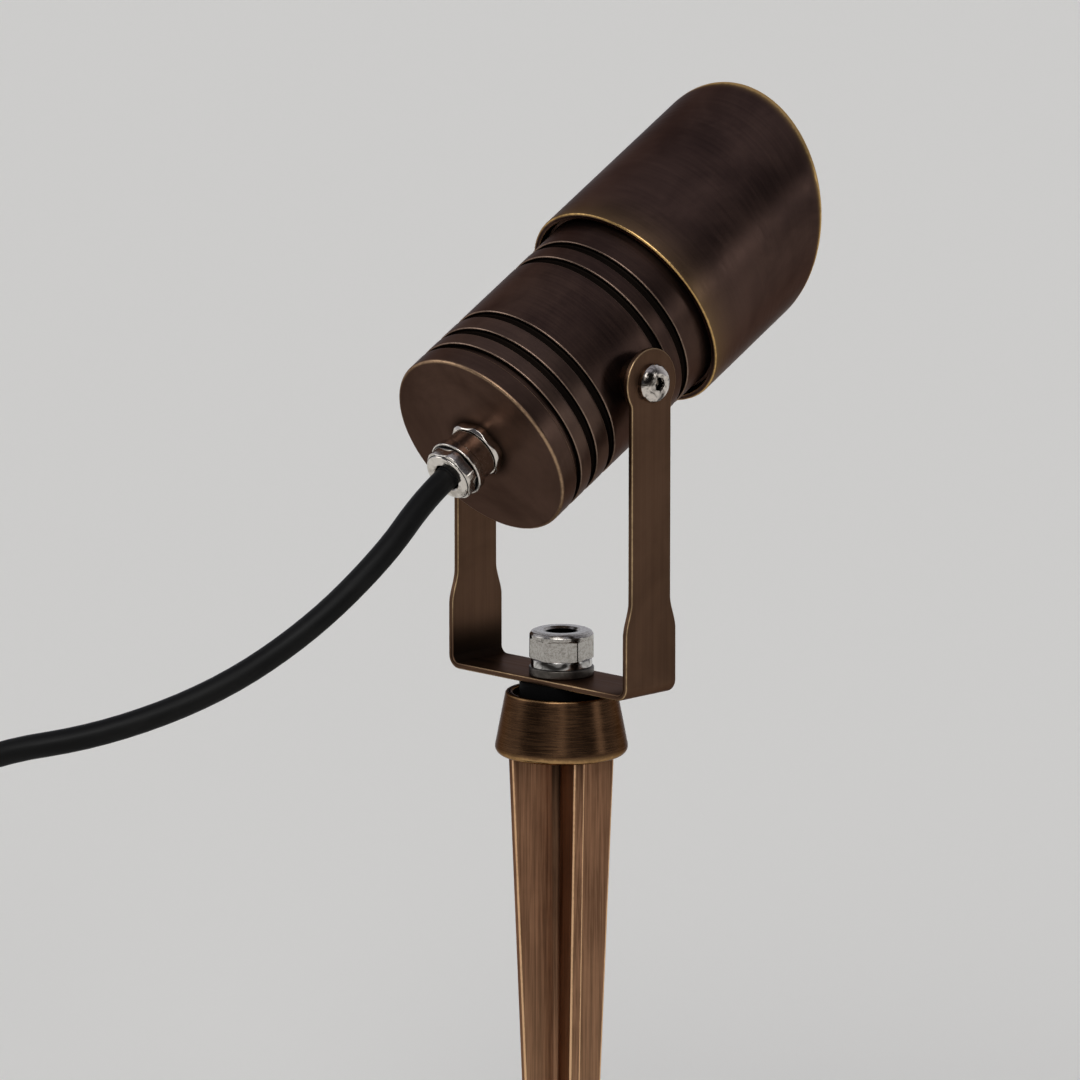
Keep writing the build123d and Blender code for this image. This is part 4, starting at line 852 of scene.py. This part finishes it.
# Each half turn of the coil is centre + swell (arm cos t + bulge sin t), and the next has another radius.
gland_mouth = HEAD[0] + CLAMP_U[0] * AXIS
coil_along = CABLE_ROUTE[-1] - CABLE_ROUTE[-2]
coil_along = coil_along / np.linalg.norm(coil_along)
coil_out = np.cross((0, 0, 1), coil_along)
coil_start = CABLE_ROUTE[-1] + coil_along * CABLE_D
coil_middle = coil_start - coil_out * COIL_RADIUS
one_layer = COIL_RADIUS - COIL_PITCH / 2 * np.arange(COIL_HALF_TURNS + 1)
one_layer[-1] -= COIL_CLIMB
coil_radii = np.concatenate((one_layer, one_layer[::-1]))
coil_lift = COIL_PITCH * (np.arange(len(coil_radii)) > COIL_HALF_TURNS)
to_and_fro = (-1.0) ** np.arange(len(coil_radii))
turn_ends = coil_middle + coil_out * (coil_radii * to_and_fro)[:, None]
turn_ends = turn_ends + np.outer(coil_lift, (0, 0, 1))
half_turn = (np.arange(TURN_POINTS // 2) * 2 * pi / TURN_POINTS)[:, None]
swell = 1 / cos(pi / TURN_POINTS)
turn_centre = (turn_ends[:-1] + turn_ends[1:])[:, None] / 2
turn_arm = turn_ends[:-1, None] - turn_centre
turn_bulge = np.linalg.norm(turn_arm, axis=-1, keepdims=True) * coil_along * to_and_fro[:-1, None, None]
turns = turn_centre + swell * (turn_arm * np.cos(half_turn) + turn_bulge * np.sin(half_turn))
route = np.concatenate(((gland_mouth, gland_mouth - AXIS * CABLE_OUT), CABLE_ROUTE, turns.reshape(-1, 3),
                        (turn_ends[-1], turn_ends[-1] - coil_along * CABLE_D)))

lay = bpy.data.curves.new("cable_lay", "CURVE")
lay.dimensions = "3D"
lay.resolution_u = LAY_STEPS
spline = lay.splines.new("NURBS")
spline.points.add(len(route) - 1)
spline.points.foreach_set("co", np.column_stack((route, np.ones(len(route)))).ravel())
spline.order_u = 3
spline.use_endpoint_u = True
lay_object = bpy.data.objects.new("cable_lay", lay)
bpy.context.collection.objects.link(lay_object)
lay_mesh = bpy.data.meshes.new_from_object(lay_object)
centre_line = np.empty(3 * len(lay_mesh.vertices))
lay_mesh.vertices.foreach_get("co", centre_line)
centre_line = centre_line.reshape(-1, 3)
bpy.data.objects.remove(lay_object)
bpy.data.meshes.remove(lay_mesh)

# The sheath is p(i, t) = line(i) + half its diameter (above cos t + sideways sin t), closed at both ends.
flow = np.gradient(centre_line, axis=0)
flow = flow / np.linalg.norm(flow, axis=1, keepdims=True)
sideways = np.cross(flow, (0, 0, 1))
sideways = sideways / np.linalg.norm(sideways, axis=1, keepdims=True)
above = np.cross(sideways, flow)
around = np.linspace(0, 2 * pi, TUBE_RING, endpoint=False)[:, None]
tube = np.cos(around) * above[:, None] + np.sin(around) * sideways[:, None]
tube = centre_line[:, None] + CABLE_D / 2 * tube
tube = np.concatenate((centre_line[:1, None] + 0 * tube[:1], tube, centre_line[-1:, None] + 0 * tube[:1]))
reached = np.concatenate(([0.0], np.cumsum(np.linalg.norm(np.diff(centre_line, axis=0), axis=1))))
unrolled = (CABLE_D / 2 * np.cos(around.T), CABLE_D / 2 * np.sin(around.T), reached[:, None])
sheath_grain = np.stack(np.broadcast_arrays(*unrolled), axis=-1)
sheath_grain = np.concatenate((sheath_grain[:1], sheath_grain, sheath_grain[-1:]))

cable_rubber, cable_tree, cable_shader = new_finish("cable_rubber")
sheath = add(cable_tree, "Attribute", {}, attribute_name="grain").outputs["Vector"]
drawn = grained(cable_tree, sheath, DRAWN_SCALE)
scuff = ramp(cable_tree, grained(cable_tree, sheath, SCUFF_SCALE, detail=4.0, distortion=0.5), *SCUFF_SPAN)
sheath_colour = mixed(cable_tree, scuff, SHEATH_BLACK, SHEATH_SCUFFED)
cable_tree.links.new(sheath_colour, cable_shader.inputs["Base Color"])
cable_tree.links.new(ramp(cable_tree, drawn, *DRAWN_SPAN, *DRAWN_ROUGH), cable_shader.inputs["Roughness"])
cable_bump = add(cable_tree, "Bump", {"Strength": DRAWN_STRENGTH, "Distance": DRAWN_DEPTH, "Height": drawn})
cable_tree.links.new(cable_bump.outputs[0], cable_shader.inputs["Normal"])
cable_shader.inputs["Specular IOR Level"].default_value = SHEATH_SHEEN
cable = piece("supply_cable", [(tube, np.zeros(tube.shape[:2]), sheath_grain)], cable_rubber, None,
              "cable_rubber", "cable", "cable_coil")
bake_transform(cable)


# Cable end: a nylon tie holds the coil, and three cores come out of the cut sheath, brown, blue, and green
# and yellow, with a tinned ferrule crimped on each. Inside the gland the sheath runs on to the lamp holder.

tie_nylon = mouldings("tie_nylon", colour=(0.009, 0.009, 0.0095), rough=0.42, cell=0.6 * MM, mottle=0.3,
                      bumps=0.3, sheen=0.25)
ferrule_tin = polished("ferrule_tin", colour=(0.58, 0.57, 0.55), dark=(0.38, 0.37, 0.36), patch=2 * MM,
                       rough=0.22, scratch=(1500, 1500, 1500))
inlet_rubber = mouldings("cable_inlet_rubber", colour=(0.009, 0.009, 0.009), rough=0.5, cell=0.4 * MM)
dress(tie_nylon, "coil_tie")
dress(ferrule_tin, "core_ferrules")
dress(inlet_rubber, "cable_inlet")


# Studio: a wide pale floor under a surround that is pale behind the object and dark round the camera, with
# five soft lights, three of them near the camera, one at its left and one at its right. A long lens looks
# down a little on the object from its right rear.

FLOOR_Z = -166.7 * MM
FLOOR_HALF = 15.0
FLOOR_COLOUR = (0.875, 0.865, 0.81, 1)
VIEW_AZIMUTH, VIEW_HEIGHT = radians(44.5), radians(11)
VIEW_FAR = 2.33
VIEW_SHIFT = (-5.6 * MM, -44.6 * MM)
VIEW_END = 100.0
LENS = 300.0
BACKDROP_TURN, BACKDROP_SPAN = radians(6), (-0.35, 0.55)
BACKDROP_COLOUR = (0.50, 0.505, 0.55, 1)
ROOM_COLOUR = (0.075, 0.075, 0.085, 1)
OVERHEAD_COLOUR, OVERHEAD_SPAN = (0.33, 0.33, 0.38, 1), (0.5, 0.96)
LIGHTS = ((30, 40, 26, 4.3), (-46, 24, 20, 1.7), (70, 27, 9, 4.0), (46, 13, 8, 1.2), (119, 11, 10, 2.2))
LIGHT_CORE = 0.4

floor_mesh = bpy.data.meshes.new("studio_floor")
floor_corners = [(x, y, FLOOR_Z) for x, y in ((-FLOOR_HALF, -FLOOR_HALF), (FLOOR_HALF, -FLOOR_HALF),
                                              (FLOOR_HALF, FLOOR_HALF), (-FLOOR_HALF, FLOOR_HALF))]
floor_mesh.from_pydata(floor_corners, [], [(0, 1, 2, 3)])
floor = bpy.data.objects.new("studio_floor", floor_mesh)
bpy.context.collection.objects.link(floor)
paper, paper_shader = new_finish("studio_paper")[::2]
paper_shader.inputs["Base Color"].default_value = FLOOR_COLOUR
paper_shader.inputs["Roughness"].default_value = 1.0
paper_shader.inputs["Specular IOR Level"].default_value = 0.0
floor_mesh.materials.append(paper)


def facing(azimuth, height):
    """Unit vector from the object to a place at this azimuth and height."""
    return Vector((sin(azimuth) * cos(height), -cos(azimuth) * cos(height), sin(height)))


def towards(tree, place, direction):
    """How far a direction of the surround agrees with the one given, 1 where they are the same."""
    return add(tree, "VectorMath", {0: place, 1: direction}, operation="DOT_PRODUCT").outputs["Value"]


world = bpy.data.worlds.new("studio")
world.use_nodes = True
sky = world.node_tree
bpy.context.scene.world = world
away = add(sky, "TexCoord", {}).outputs["Generated"]
rise = add(sky, "SeparateXYZ", {0: away}).outputs[2]
behind = towards(sky, away, -facing(VIEW_AZIMUTH + BACKDROP_TURN, 0))
glow = mixed(sky, ramp(sky, behind, *BACKDROP_SPAN), ROOM_COLOUR, BACKDROP_COLOUR)
glow = mixed(sky, ramp(sky, rise, *OVERHEAD_SPAN), glow, OVERHEAD_COLOUR)
for azimuth, height, spread, strength in LIGHTS:
    near = towards(sky, away, facing(radians(azimuth), radians(height)))
    lit = ramp(sky, near, cos(radians(spread)), cos(radians(spread * LIGHT_CORE)), 0, strength)
    glow = mixed(sky, 1.0, glow, lit, "ADD")
sky.links.new(glow, sky.nodes["Background"].inputs["Color"])

camera_data = bpy.data.cameras.new("camera")
camera_data.lens = LENS
camera_data.clip_end = VIEW_END
camera = bpy.data.objects.new("camera", camera_data)
bpy.context.collection.objects.link(camera)
to_camera = facing(VIEW_AZIMUTH, VIEW_HEIGHT)
view_right = Vector((cos(VIEW_AZIMUTH), sin(VIEW_AZIMUTH), 0))
view_up = to_camera.cross(view_right)
stand = Vector(PIVOT) + VIEW_FAR * to_camera + VIEW_SHIFT[0] * view_right + VIEW_SHIFT[1] * view_up
camera.matrix_world = Matrix((view_right, view_up, to_camera)).transposed().to_4x4()
camera.location = stand
bpy.context.scene.camera = camera
bpy.context.scene.view_settings.view_transform = "Standard"
